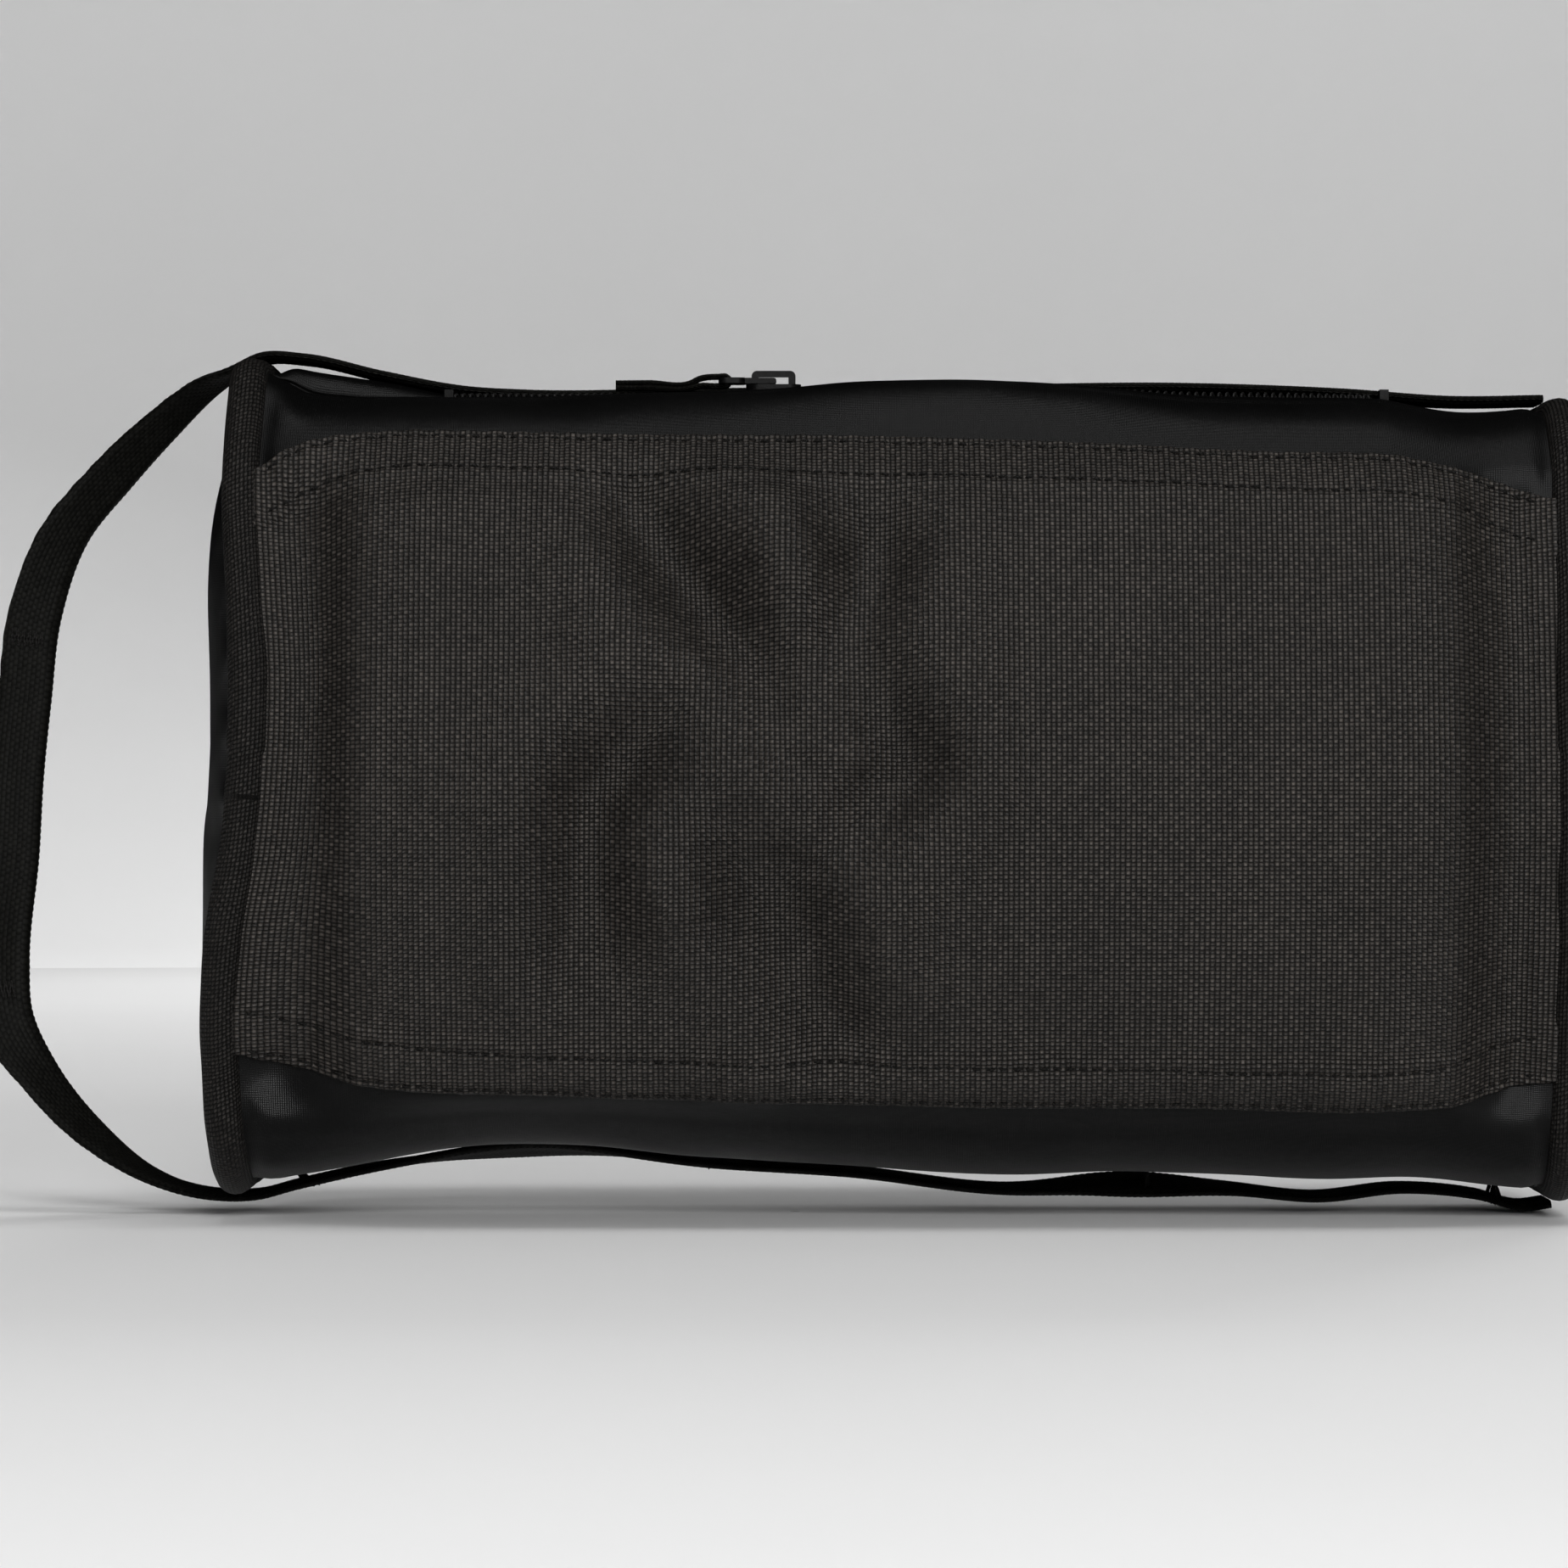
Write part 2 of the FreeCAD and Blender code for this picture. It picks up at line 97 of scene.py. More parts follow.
# For turning a hem's height into girth: a height, its girth, and height gained per girth.
TOP_HEM_Z, TOP_HEM_GIRTH, TOP_HEM_SLOPE = 140.3, 66.6, 0.747
BOTTOM_HEM_Z, BOTTOM_HEM_GIRTH, BOTTOM_HEM_SLOPE = 22.4, -56.3, 0.907
PANEL_MARGIN = 2.0                                # panels reach this far past the end seams
STITCH_PITCH, STITCH_LENGTH, STITCH_R = 2.35, 1.75, 0.22
MOUTH_HALF, MOUTH_BOW = 6.5, 4.5                  # a strip's edge from the zip's line; see bow()
COIL_HALF_GAP, COIL_W, COIL_PITCH, COIL_WIRE_R = 0.5, 2.6, 1.4, 0.29
TAPE_HALF = 13.0
OPEN_LEFT = SLIDER_X + 6.0
PIPING_R, CORD_R, PIPING_LIFT = 3.45, 2.2, -0.5
DOME_DEPTH = 9.0
WEB_HALF, WEB_T, WEB_PITCH, YARN = 10.0, 1.5, 1.2, 0.85
RIBBON_HALF, RIBBON_T, RIBBON_PITCH = 3.0, 0.85, 0.8


# ---- small maths -------------------------------------------------------------------------
def smooth(low, high, value):
    """0 below low, 1 above high, and a soft step between."""
    u = np.clip((np.asarray(value, float) - low) / (high - low), 0, 1)
    return u * u * (3 - 2 * u)


def through(points, value):
    """Smooth curve through (place, height) pairs, level outside them."""
    place, height = np.array(points, float).T
    slope = np.gradient(height, place)
    value = np.clip(value, place[0], place[-1])
    i = np.clip(np.searchsorted(place, value) - 1, 0, len(place) - 2)
    width = place[i + 1] - place[i]
    u = (value - place[i]) / width
    return ((1 + 2 * u) * (1 - u) ** 2 * height[i] + u * (1 - u) ** 2 * width * slope[i]
            + u * u * (3 - 2 * u) * height[i + 1] + u * u * (u - 1) * width * slope[i + 1])


def ripple(u, v, size, seed):
    """Smooth random relief, about 1 high, whose bumps are about size across."""
    draw = np.random.default_rng(seed)
    total = 0.0
    for _ in range(8):
        heading, shift = draw.uniform(0, 2 * math.pi, 2)
        length = 2 * size * draw.uniform(0.7, 1.7)
        wave = (u * math.cos(heading) + v * math.sin(heading)) * 2 * math.pi / length
        total = total + np.sin(wave + shift)
    return total / 3.0


def valley(x, z, line, reach):
    """Fold along a broken line of (x, z, depth) points, with a low ridge beside it."""
    away, depth = np.full(np.shape(x), 1e3), np.zeros(np.shape(x))
    for (x0, z0, d0), (x1, z1, d1) in zip(line, line[1:]):
        dx, dz = x1 - x0, z1 - z0
        along = np.clip(((x - x0) * dx + (z - z0) * dz) / (dx * dx + dz * dz), 0, 1)
        apart = np.hypot(x - x0 - along * dx, z - z0 - along * dz)
        depth = np.where(apart < away, d0 + along * (d1 - d0), depth)
        away = np.minimum(away, apart)
    ridge = np.exp(-((away - RIDGE_PLACE * reach) / reach) ** 2)
    return FOLD_STRENGTH * depth * (RIDGE_SHARE * ridge - np.exp(-(away / reach) ** 2))


# ---- the bag's skin ----------------------------------------------------------------------
# How far the faces stand out from the plain section, along the bag.
FULLNESS = ((-94.8, -3.0), (-90, -5.4), (-85, -4.4), (-78, 1.8), (-70, 4.2), (-50, 4.4),
            (90, 4.4), (109, 4.2), (117, 2.0), (123, -3.4), (128, -5.8), (134.8, -3.2))
# Along the bag: rise of the front lip and of the left corners by the zip and the webbing, sag
# of the right end, arch of the bottom. LEFT_LEAN is the left end's lean, by height.
CROWN = ((-46, -0.6), (-32, 0.2), (-10, 1.2), (10, 3.0), (25, 3.3), (49, 2.5), (72, 0.2),
         (96, -1.0), (120, -1.0), (134, 0.0))
CORNER_BY_ZIP = ((-94.8, 5.5), (-89, 1.2), (-82, 0.0), (-70, 0.0))
CORNER_BY_WEB = ((-94.8, 6.0), (-76, 3.4), (-60, 0.3), (-50, 0.0))
RIGHT_SAG = ((106, 0.0), (120, -2.5), (134.8, -2.0))
ARCH = ((-94.8, 1.2), (-88, 2.8), (-60, 8.0), (-46, 8.5), (-14, 6.0), (10, 4.5), (40, 3.0),
        (57, 3.5), (80, 3.0), (96, 2.2), (111, 2.5), (126, 1.0), (134.8, 0.0))
LEFT_LEAN = ((9, -3.2), (22, -4.1), (37, -4.4), (52, -3.2), (67, -0.6), (84, 0.9), (97, 1.2),
             (112, 0.3), (128, -0.8), (150, -0.5))
CROWN_Y, CROWN_REACH = -33, 9          # the front lip that CROWN lifts, and how wide that is
FOLD_STRENGTH, FRONT_FOLD_REACH, BACK_FOLD_REACH = 1.25, 7.5, 8.0
RIDGE_PLACE, RIDGE_SHARE = 2.1, 0.4    # a fold's ridge: its place in reaches, and its height
SOFT_RELIEF = ((0.45, 17), (0.16, 6.5))   # height and width of the soft dents
PUCKER_HEIGHT, PUCKER_WIDTH, PUCKER_REACH = 0.55, 5.5, 7
SEAM_DIP, SEAM_DIP_REACH = 1.2, 2.2
SKIN_SEED = 11
FACE_FADE = (50, 66)                   # girth over which a face's fullness dies away
# Folds of each face, as (x, height, depth).
FRONT_FOLDS = (
    ((-38, 137, 0), (-29, 129, 4.6), (-21, 117, 6.2), (-9, 103, 6.4), (0, 82, 4.4), (4, 70, 0)),
    ((14, 134, 0), (14, 121, 4.0), (9, 103, 5.4), (18, 82, 5.0), (3, 64, 3.0), (-2, 50, 0)),
    ((-16, 99, 0), (-22, 90, 4.0), (-36, 76, 5.4), (-37, 52, 3.4), (-30, 38, 0)),
    ((-22, 86, 0), (-13, 73, 3.8), (6, 38, 3.4), (14, 27, 0)),
)
BACK_FOLDS = (
    ((60, 134, 0), (48, 118, 3.4), (36, 96, 5.0), (30, 72, 3.4), (34, 58, 0)),
    ((-20, 128, 0), (-8, 108, 3.4), (4, 84, 4.4), (0, 56, 2.6), (-6, 42, 0)),
    ((86, 96, 0), (74, 74, 3.4), (62, 52, 3.2), (58, 34, 0)),
)
# Heights of the woven panels' two edges, along the bag.
HEM_TOP = ((-95.5, 136.0), (-88, 139.1), (-73, 141.3), (-57, 141.3), (-30, 140.6), (24, 139.8),
           (54, 138.8), (84, 137.6), (107, 136.8), (122, 135.3), (134.3, 132.3))
HEM_BOTTOM = ((-98, 30.3), (-91, 27.7), (-73, 25.8), (-50, 24.3), (-13, 23.1), (24, 22.3),
              (69, 21.6), (99, 21.1), (122, 22.3), (135, 24.3))


def section(girth):
    """(y, z) of the plain section, from its middle, and the outward direction there."""
    over = np.abs(girth)
    behind = over > TOP_MIDDLE
    q = np.where(behind, HALF_GIRTH - over, over)
    on_face = q < FACE_LENGTH
    angle = np.where(on_face, q / FACE_R, np.minimum(SLOPE + (q - FACE_LENGTH) / CORNER_R,
                                                     math.pi / 2))
    along_top = np.maximum(q - FACE_LENGTH - CORNER_LENGTH, 0)
    y = np.where(on_face, -HALF_DEPTH + FACE_R * (1 - np.cos(angle)),
                 CORNER_Y - CORNER_R * np.cos(angle) + along_top)
    z = np.where(on_face, FACE_R * np.sin(angle), CORNER_Z + CORNER_R * np.sin(angle))
    side, up = np.where(behind, -1, 1), np.where(girth < 0, -1, 1)
    return y * side, z * up, -np.cos(angle) * side, np.sin(angle) * up


def fullness(x, girth, y, z):
    """How far the filled bag stands out from its plain section, folds and puckers included."""
    from_face = np.minimum(np.abs(girth), np.abs(HALF_GIRTH - np.abs(girth)))
    on_face = 1 - smooth(*FACE_FADE, from_face)
    height = z + MID_Z
    seam = np.minimum(x - SEAM_LEFT, SEAM_RIGHT - x)
    folds = sum(valley(x, height, line, FRONT_FOLD_REACH) for line in FRONT_FOLDS)
    back_folds = sum(valley(x, height, line, BACK_FOLD_REACH) for line in BACK_FOLDS)
    creases = np.where(y < 0, folds, back_folds)
    # The back is measured from its own middle, so that its relief has no step there.
    behind = smooth(TOP_MIDDLE - 12, TOP_MIDDLE + 12, np.abs(girth))
    from_back = np.where(girth < 0, -1, 1) * (HALF_GIRTH - np.abs(girth))
    soft = sum(size * ((1 - behind) * ripple(x, girth, width, SKIN_SEED + i)
                       + behind * ripple(x, from_back, width, SKIN_SEED + 5 + i))
               for i, (size, width) in enumerate(SOFT_RELIEF))
    soft = soft * (0.25 + 0.75 * on_face) * smooth(0, 10, seam)
    inside = smooth(2, 16, seam)
    pucker = PUCKER_HEIGHT * ripple(0.25 * x, np.abs(girth), PUCKER_WIDTH, SKIN_SEED + 2)
    pucker = pucker * np.exp(-seam / PUCKER_REACH) * (1 - inside) * smooth(0.5, 5, seam)
    dip = SEAM_DIP * np.exp(-(np.maximum(seam, 0) / SEAM_DIP_REACH) ** 2)
    return on_face * (through(FULLNESS, x) + creases * inside) + soft + pucker - dip


def settle(x, y, z):
    """The bag's weight and its straps: corners lift, the bottom arches, the left end leans."""
    top, bottom = smooth(48, 70, z), smooth(50, 71, -z)
    by_web = smooth(-13, -8, y)
    rise = (through(CROWN, x) * np.exp(-((y - CROWN_Y) / CROWN_REACH) ** 2)
            + through(CORNER_BY_ZIP, x) * (1 - by_web) * smooth(-44, -30, y)
            + through(CORNER_BY_WEB, x) * by_web + through(RIGHT_SAG, x))
    z = z + top * rise + bottom * through(ARCH, x)
    lean = through(LEFT_LEAN, z + MID_Z) * (1 - smooth(SEAM_LEFT, SEAM_LEFT + 20, x))
    return np.stack([x + lean, y + 0 * x, z + MID_Z], -1)


def skin(x, girth, lift=0.0):
    """Point of the skin, in millimetres, lift above the seam line."""
    x, girth = np.broadcast_arrays(np.asarray(x, float), np.asarray(girth, float))
    girth = (girth + HALF_GIRTH) % (2 * HALF_GIRTH) - HALF_GIRTH
    y, z, out_y, out_z = section(girth)
    out = lift + fullness(x, girth, y, z)
    return settle(x, y + out_y * out, z + out_z * out)


def bow(x):
    """How far each lip of the open mouth bows from the zip's line."""
    half = (ZIP_RIGHT - OPEN_LEFT) / 2
    u = np.clip((x - OPEN_LEFT - half) / half, -1, 1)
    return MOUTH_BOW * (1 - u * u)


def front_hem(x, upper):
    """Girth of a woven panel's edge."""
    if upper:
        return TOP_HEM_GIRTH + (through(HEM_TOP, x) - TOP_HEM_Z) / TOP_HEM_SLOPE
    return BOTTOM_HEM_GIRTH + (through(HEM_BOTTOM, x) - BOTTOM_HEM_Z) / BOTTOM_HEM_SLOPE


def mirrored(girth, side):
    """Girth measured the same way from the back face when side is +1."""
    return girth if side < 0 else HALF_GIRTH - girth


# ---- meshes ------------------------------------------------------------------------------
def mesh_object(name, points, faces, uv, material):
    """Smooth mesh from points and a UV for each of them, in millimetres."""
    mesh = bpy.data.meshes.new(name)
    mesh.from_pydata((points * MM).tolist(), [], faces.tolist())
    corners = np.zeros(len(mesh.loops), np.int32)
    mesh.loops.foreach_get("vertex_index", corners)
    layer = mesh.uv_layers.new(name="flat")
    layer.data.foreach_set("uv", (uv[corners] * MM).astype(np.float32).ravel())
    mesh.shade_smooth()
    mesh.update()
    mesh.materials.append(material)
    made = bpy.data.objects.new(name, mesh)
    bpy.context.scene.collection.objects.link(made)
    return made


def quads(rows, cols, wrap_rows=False, wrap_cols=False):
    """Faces of a grid of points, which may close on itself either way."""
    r = np.arange(rows if wrap_rows else rows - 1)
    c = np.arange(cols if wrap_cols else cols - 1)
    r, c = np.meshgrid(r, c, indexing="ij")
    r1, c1 = (r + 1) % rows, (c + 1) % cols
    return np.stack([r * cols + c, r * cols + c1, r1 * cols + c1, r1 * cols + c], -1).reshape(-1, 4)


def grid_object(name, points, uv, material, wrap_rows=False, wrap_cols=False):
    rows, cols = points.shape[:2]
    return mesh_object(name, points.reshape(-1, 3), quads(rows, cols, wrap_rows, wrap_cols),
                       uv.reshape(-1, 2), material)


def shell_object(name, outer, inner, uv, material):
    """Closed sheet: two grids joined along their four borders."""
    rows, cols = outer.shape[:2]
    count = rows * cols
    face = quads(rows, cols)
    index = np.arange(count).reshape(rows, cols)
    rim = np.concatenate([index[0, :-1], index[:-1, -1], index[-1, :0:-1], index[:0:-1, 0]])
    following = np.roll(rim, -1)
    walls = np.stack([rim, rim + count, following + count, following], -1)
    faces = np.concatenate([face[:, ::-1], face + count, walls])
    return mesh_object(name, np.concatenate([outer.reshape(-1, 3), inner.reshape(-1, 3)]), faces,
                       np.concatenate([uv.reshape(-1, 2)] * 2), material)


def tube_points(path, radius, sides=6):
    """Round tube along each path of an array (..., stations, 3)."""
    run = np.gradient(path, axis=-2)
    run /= np.linalg.norm(run, axis=-1, keepdims=True) + 1e-9
    helper = np.where(np.abs(run[..., 2:3]) < 0.8, np.array([0, 0, 1.0]), np.array([1.0, 0, 0]))
    across = np.cross(run, helper)
    across /= np.linalg.norm(across, axis=-1, keepdims=True)
    up = np.cross(across, run)
    turn = np.linspace(0, 2 * math.pi, sides, endpoint=False)[:, None]
    ring = (np.cos(turn) * across[..., None, :] + np.sin(turn) * up[..., None, :])
    return path[..., None, :] + ring * np.asarray(radius)[..., None, None]


def threads(name, paths, radius, material, sides=6):
    """One mesh of many short threads, thin at their ends. paths is (threads, stations, 3)."""
    count, stations = paths.shape[:2]
    taper = np.full(stations, radius)
    taper[[0, -1]] *= 0.35
    points = tube_points(paths, taper, sides)
    face = quads(stations, sides, wrap_cols=True)
    faces = (face[None] + np.arange(count)[:, None, None] * stations * sides).reshape(-1, 4)
    along = np.linspace(0, 1, stations)[None, :, None] + np.arange(count)[:, None, None]
    around = np.linspace(0, 1, sides)[None, None, :]
    uv = np.stack(np.broadcast_arrays(along, around), -1)
    return mesh_object(name, points.reshape(-1, 3), faces, uv.reshape(-1, 2), material)


def steps(start, end, pitch, edges=(0.0, 0.15, 0.4, 0.8, 1.3)):
    """Shares from 0 to 1 of a width, closer together near both edges."""
    width = end - start
    near = np.array(edges) / width
    inside = np.linspace(near[-1], 1 - near[-1], int(width / pitch) + 1)[1:-1]
    return np.concatenate([near, inside, 1 - near[::-1]])


# ---- materials ---------------------------------------------------------------------------
class Shade:
    """One node material, built step by step."""

    def __init__(self, name):
        self.material = bpy.data.materials.new(name)
        self.material.use_nodes = True
        self.tree = self.material.node_tree
        self.surface = self.tree.nodes["Principled BSDF"]

    def node(self, kind, **settings):
        made = self.tree.nodes.new("ShaderNode" + kind)
        for name, value in settings.items():
            setattr(made, name, value)
        return made

    def feed(self, socket, value):
        """Links a socket to another, or sets its constant."""
        if isinstance(value, bpy.types.NodeSocket):
            self.tree.links.new(value, socket)
        else:
            socket.default_value = value

    def math(self, operation, *values):
        """Result of a Math node."""
        made = self.node("Math", operation=operation)
        for socket, value in zip(made.inputs, values):
            self.feed(socket, value)
        return made.outputs[0]

    def flat(self):
        """The two UV coordinates, in millimetres."""
        split = self.node("SeparateXYZ")
        self.feed(split.inputs[0], self.node("UVMap", uv_map="flat").outputs[0])
        return [self.math("DIVIDE", split.outputs[i], MM) for i in range(2)]

    def noise(self, scale, detail=2.0, stretch=(1.0, 1.0, 1.0)):
        """Noise over the object, scale bumps a metre."""
        place = self.node("TexCoord").outputs["Object"]
        mapping = self.node("Mapping")
        self.feed(mapping.inputs["Vector"], place)
        mapping.inputs["Scale"].default_value = stretch
        made = self.node("TexNoise")
        self.feed(made.inputs["Vector"], mapping.outputs[0])
        made.inputs["Scale"].default_value = scale
        made.inputs["Detail"].default_value = detail
        return made.outputs["Fac"]

    def each(self, number):
        """A random share from 0 to 1 for each whole number."""
        made = self.node("TexWhiteNoise", noise_dimensions="1D")
        self.feed(made.inputs["W"], number)
        return made.outputs["Value"]

    def mix(self, share, low, high):
        """Color from low to high. A color Mix keeps its two colors in sockets 6 and 7."""
        made = self.node("Mix", data_type="RGBA")
        self.feed(made.inputs["Factor"], share)
        self.feed(made.inputs[6], low)
        self.feed(made.inputs[7], high)
        return made.outputs[2]

    def ramp(self, value, low, high):
        """value from low to high becomes 0 to 1."""
        made = self.node("MapRange")
        self.feed(made.inputs["Value"], value)
        made.inputs["From Min"].default_value = low
        made.inputs["From Max"].default_value = high
        return made.outputs[0]

    def bump(self, height, distance):
        """Relief of that many millimetres."""
        made = self.node("Bump")
        self.feed(made.inputs["Height"], height)
        made.inputs["Distance"].default_value = distance * MM
        made.inputs["Strength"].default_value = 1.0
        self.feed(self.surface.inputs["Normal"], made.outputs[0])

    def finish(self, color, roughness, **constants):
        """Fills the surface's sockets and gives the material."""
        self.feed(self.surface.inputs["Base Color"], color)
        self.feed(self.surface.inputs["Roughness"], roughness)
        for name, value in constants.items():
            self.surface.inputs[name.replace("_", " ")].default_value = value
        return self.material


def grey(level, warmth=0.0):
    """Dark grey, warmer towards brown when warmth is above 0."""
    return (level * (1 + warmth), level, level * (1 - warmth), 1.0)


def plain_weave(name, pitch_u, pitch_v, dark, light, roughness, relief, specular=0.5):
    """Plain weave: threads each way pass over and under one another."""
    float_end = 0.55                          # height of a float's ends; its middle is 1
    by_thread, by_float, least = 0.14, 0.50, 0.30   # tone: whole thread, single float, least
    weft_share, cloud_share = 0.60, 0.25      # weft's tone beside the warp's; cloudiness
    shade = Shade(name)
    u, v = shade.flat()
    cell = [shade.math("DIVIDE", u, pitch_u), shade.math("DIVIDE", v, pitch_v)]
    whole = [shade.math("FLOOR", c) for c in cell]
    from_middle = [shade.math("ABSOLUTE", shade.math(
        "MULTIPLY_ADD", shade.math("FRACT", c), 2.0, -1.0)) for c in cell]
    round_u, round_v = [shade.math("SUBTRACT", 1.0, shade.math("MULTIPLY", f, f))
                        for f in from_middle]
    over = shade.math("MODULO", shade.math("ADD", *whole), 2.0)
    over = shade.math("ABSOLUTE", over)
    low_u = shade.math("MULTIPLY_ADD", round_u, 1 - float_end, float_end)
    low_v = shade.math("MULTIPLY_ADD", round_v, 1 - float_end, float_end)
    warp = shade.math("MULTIPLY", shade.math("SQRT", round_u), low_v)
    weft = shade.math("MULTIPLY", shade.math("SQRT", round_v), low_u)
    height = shade.math("ADD", shade.math("MULTIPLY", warp, over),
                        shade.math("MULTIPLY", weft, shade.math("SUBTRACT", 1.0, over)))
    warp_tone, weft_tone = shade.each(whole[0]), shade.each(shade.math("ADD", whole[1], 0.5))
    single = shade.each(shade.math("MULTIPLY_ADD", whole[0], 57.0, whole[1]))
    thread = shade.math("ADD", shade.math("MULTIPLY", warp_tone, over),
                        shade.math("MULTIPLY", weft_tone, shade.math("SUBTRACT", 1.0, over)))
    cloud = shade.ramp(shade.noise(38.0, 3.0), 0.3, 0.7)
    tone = shade.math("ADD", shade.math("MULTIPLY", thread, by_thread),
                      shade.math("MULTIPLY_ADD", single, by_float, least))
    tone = shade.math("MULTIPLY", tone,
                      shade.math("MULTIPLY_ADD", over, 1 - weft_share, weft_share))
    tone = shade.math("MULTIPLY", tone, shade.math("MULTIPLY_ADD", cloud, cloud_share, 0.87))
    # Painted shade: the tone falls with each thread's height, so the dips where threads pass under one
    # another come out dark, on top of the threads' own random tones.
    tone = shade.math("MULTIPLY", shade.math("POWER", height, 2.4), tone)
    shade.bump(height, relief)
    return shade.finish(shade.mix(tone, dark, light), roughness, Specular_IOR_Level=specular)


def coated_cloth():
    """Smooth coated nylon with a fine grain and faint handling marks."""
    grain_pitch = 0.32
    shade = Shade("coated_cloth")
    u, v = shade.flat()
    waves = [shade.math("SINE", shade.math("MULTIPLY", c, 2 * math.pi / grain_pitch))
             for c in (u, v)]
    grain = shade.math("ADD", *waves)
    soft = shade.noise(110.0, 4.0)
    marks = shade.ramp(shade.noise(32.0, 5.0, (1.0, 1.0, 0.5)), 0.35, 0.7)
    height = shade.math("ADD", shade.math("MULTIPLY", grain, 0.04), soft)
    shade.bump(height, 0.25)
    roughness = shade.math("MULTIPLY_ADD", marks, 0.09, 0.30)
    return shade.finish(shade.mix(marks, grey(0.0020), grey(0.0032)), roughness,
                        Specular_IOR_Level=0.10)


def ribbed(name, pitch, across, dark, light, roughness):
    """Woven tape whose ribs cross its length, u; across is the yarn pitch over its width."""
    shade = Shade(name)
    u, v = shade.flat()
    rib_place = shade.math("DIVIDE", u, pitch)
    yarn_place = shade.math("DIVIDE", v, across)
    odd_yarn = shade.math("MODULO", shade.math("FLOOR", yarn_place), 2.0)
    shift = shade.math("MULTIPLY", odd_yarn, 0.5)
    rib = shade.math("ABSOLUTE", shade.math("SINE", shade.math(
        "MULTIPLY", shade.math("ADD", rib_place, shift), math.pi)))
    yarn = shade.math("ABSOLUTE", shade.math("SINE", shade.math("MULTIPLY", yarn_place, math.pi)))
    height = shade.math("MULTIPLY", shade.math("MULTIPLY_ADD", rib, 0.7, 0.3),
                        shade.math("MULTIPLY_ADD", yarn, 0.5, 0.5))
    single = shade.each(shade.math("MULTIPLY_ADD", shade.math("FLOOR", rib_place), 31.0,
                                   shade.math("FLOOR", yarn_place)))
    # Painted shade: the tone follows rib and yarn height, so the troughs between them come out dark;
    # the random share for each yarn is the tape's own tone.
    tone = shade.math("MULTIPLY", height, shade.math("MULTIPLY_ADD", single, 0.6, 0.5))
    shade.bump(height, 0.16)
    return shade.finish(shade.mix(tone, dark, light), roughness, Specular_IOR_Level=0.06)


def thread_shade():
    """Twisted sewing thread: fine slanted plies."""
    shade = Shade("thread")
    u, v = shade.flat()
    ply = shade.math("SINE", shade.math("MULTIPLY", shade.math(
        "ADD", shade.math("MULTIPLY", u, 4.0), v), 2 * math.pi))
    shade.bump(ply, 0.05)
    # Painted shade: the grooves between the plies come out darker; the noise is the thread's own
    # random tone.
    tone = shade.math("MULTIPLY", shade.noise(600.0), shade.math("MULTIPLY_ADD", ply, 0.2, 0.8))
    return shade.finish(shade.mix(tone, grey(0.002, 0.05), grey(0.011, 0.08)), 0.6,
                        Specular_IOR_Level=0.1)


def enamel():
    """Black lacquered zinc, slightly pitted and rubbed."""
    shade = Shade("black_enamel")
    pits = shade.noise(900.0, 3.0)
    rubbed = shade.ramp(shade.noise(420.0, 4.0), 0.52, 0.75)
    shade.bump(pits, 0.05)
    color = shade.mix(rubbed, grey(0.0016), grey(0.006, 0.08))
    return shade.finish(color, shade.math("MULTIPLY_ADD", rubbed, 0.14, 0.44),
                        Specular_IOR_Level=0.06)


def wire_shade():
    """Moulded nylon of the zip's coils."""
    shade = Shade("coil_nylon")
    tone = shade.noise(1500.0, 2.0)
    shade.bump(tone, 0.03)
    return shade.finish(shade.mix(tone, grey(0.004), grey(0.012, 0.03)), 0.42,
                        Specular_IOR_Level=0.12)


WOVEN = plain_weave("oxford_weave", 0.935, 0.715, grey(0.0012, 0.10),
                    (0.059, 0.0515, 0.0455, 1), 0.48, 0.30, 0.17)
PIPING = plain_weave("bias_weave", 0.80, 0.72, grey(0.0015, 0.08), (0.028, 0.0252, 0.023, 1),
                     0.52, 0.30, 0.10)
LINING = plain_weave("lining_taffeta", 0.34, 0.30, grey(0.018), grey(0.085), 0.5, 0.04)
TAPE = ribbed("zip_tape_weave", 0.62, 0.5, grey(0.002), grey(0.018), 0.6)
BINDING = ribbed("binding_weave", 0.7, 0.45, grey(0.003), grey(0.02), 0.65)
WEBBING = ribbed("webbing_weave", WEB_PITCH, YARN, (0.0010, 0.0010, 0.0008, 1),
                 (0.0062, 0.0061, 0.0052, 1), 0.6)
RIBBON = ribbed("grosgrain", RIBBON_PITCH, 0.4, grey(0.002), (0.0085, 0.0082, 0.0068, 1), 0.5)
CORD = ribbed("cord_twist", 1.1, 0.9, grey(0.05), grey(0.2), 0.8)
COATED, THREAD, ENAMEL, WIRE = coated_cloth(), thread_shade(), enamel(), wire_shade()


# ---- sewn panels -------------------------------------------------------------------------
def place(piece, body, slot, *nodes):
    """Gives a finished piece to its body and hides the CAD nodes it stands for. Its slot is not used.
    """
    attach(piece, body)
    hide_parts(*nodes)


def panel_grid(low, high, pitch):
    """x and girth of a panel between two edges given as functions of x."""
    x = np.arange(SEAM_LEFT - PANEL_MARGIN, SEAM_RIGHT + PANEL_MARGIN + 0.01, pitch)
    start, end = low(x), high(x)
    share = steps(float(np.mean(start)), float(np.mean(end)), pitch)[:, None]
    return np.broadcast_to(x, (len(share), len(x))), start + share * (end - start), start, end


def edge_round(distance, radius=0.9):
    """Height of a rolled edge, from 0 at the edge to 1."""
    u = np.clip(distance / radius, 0, 1)
    return np.sqrt(1 - (1 - u) ** 2)


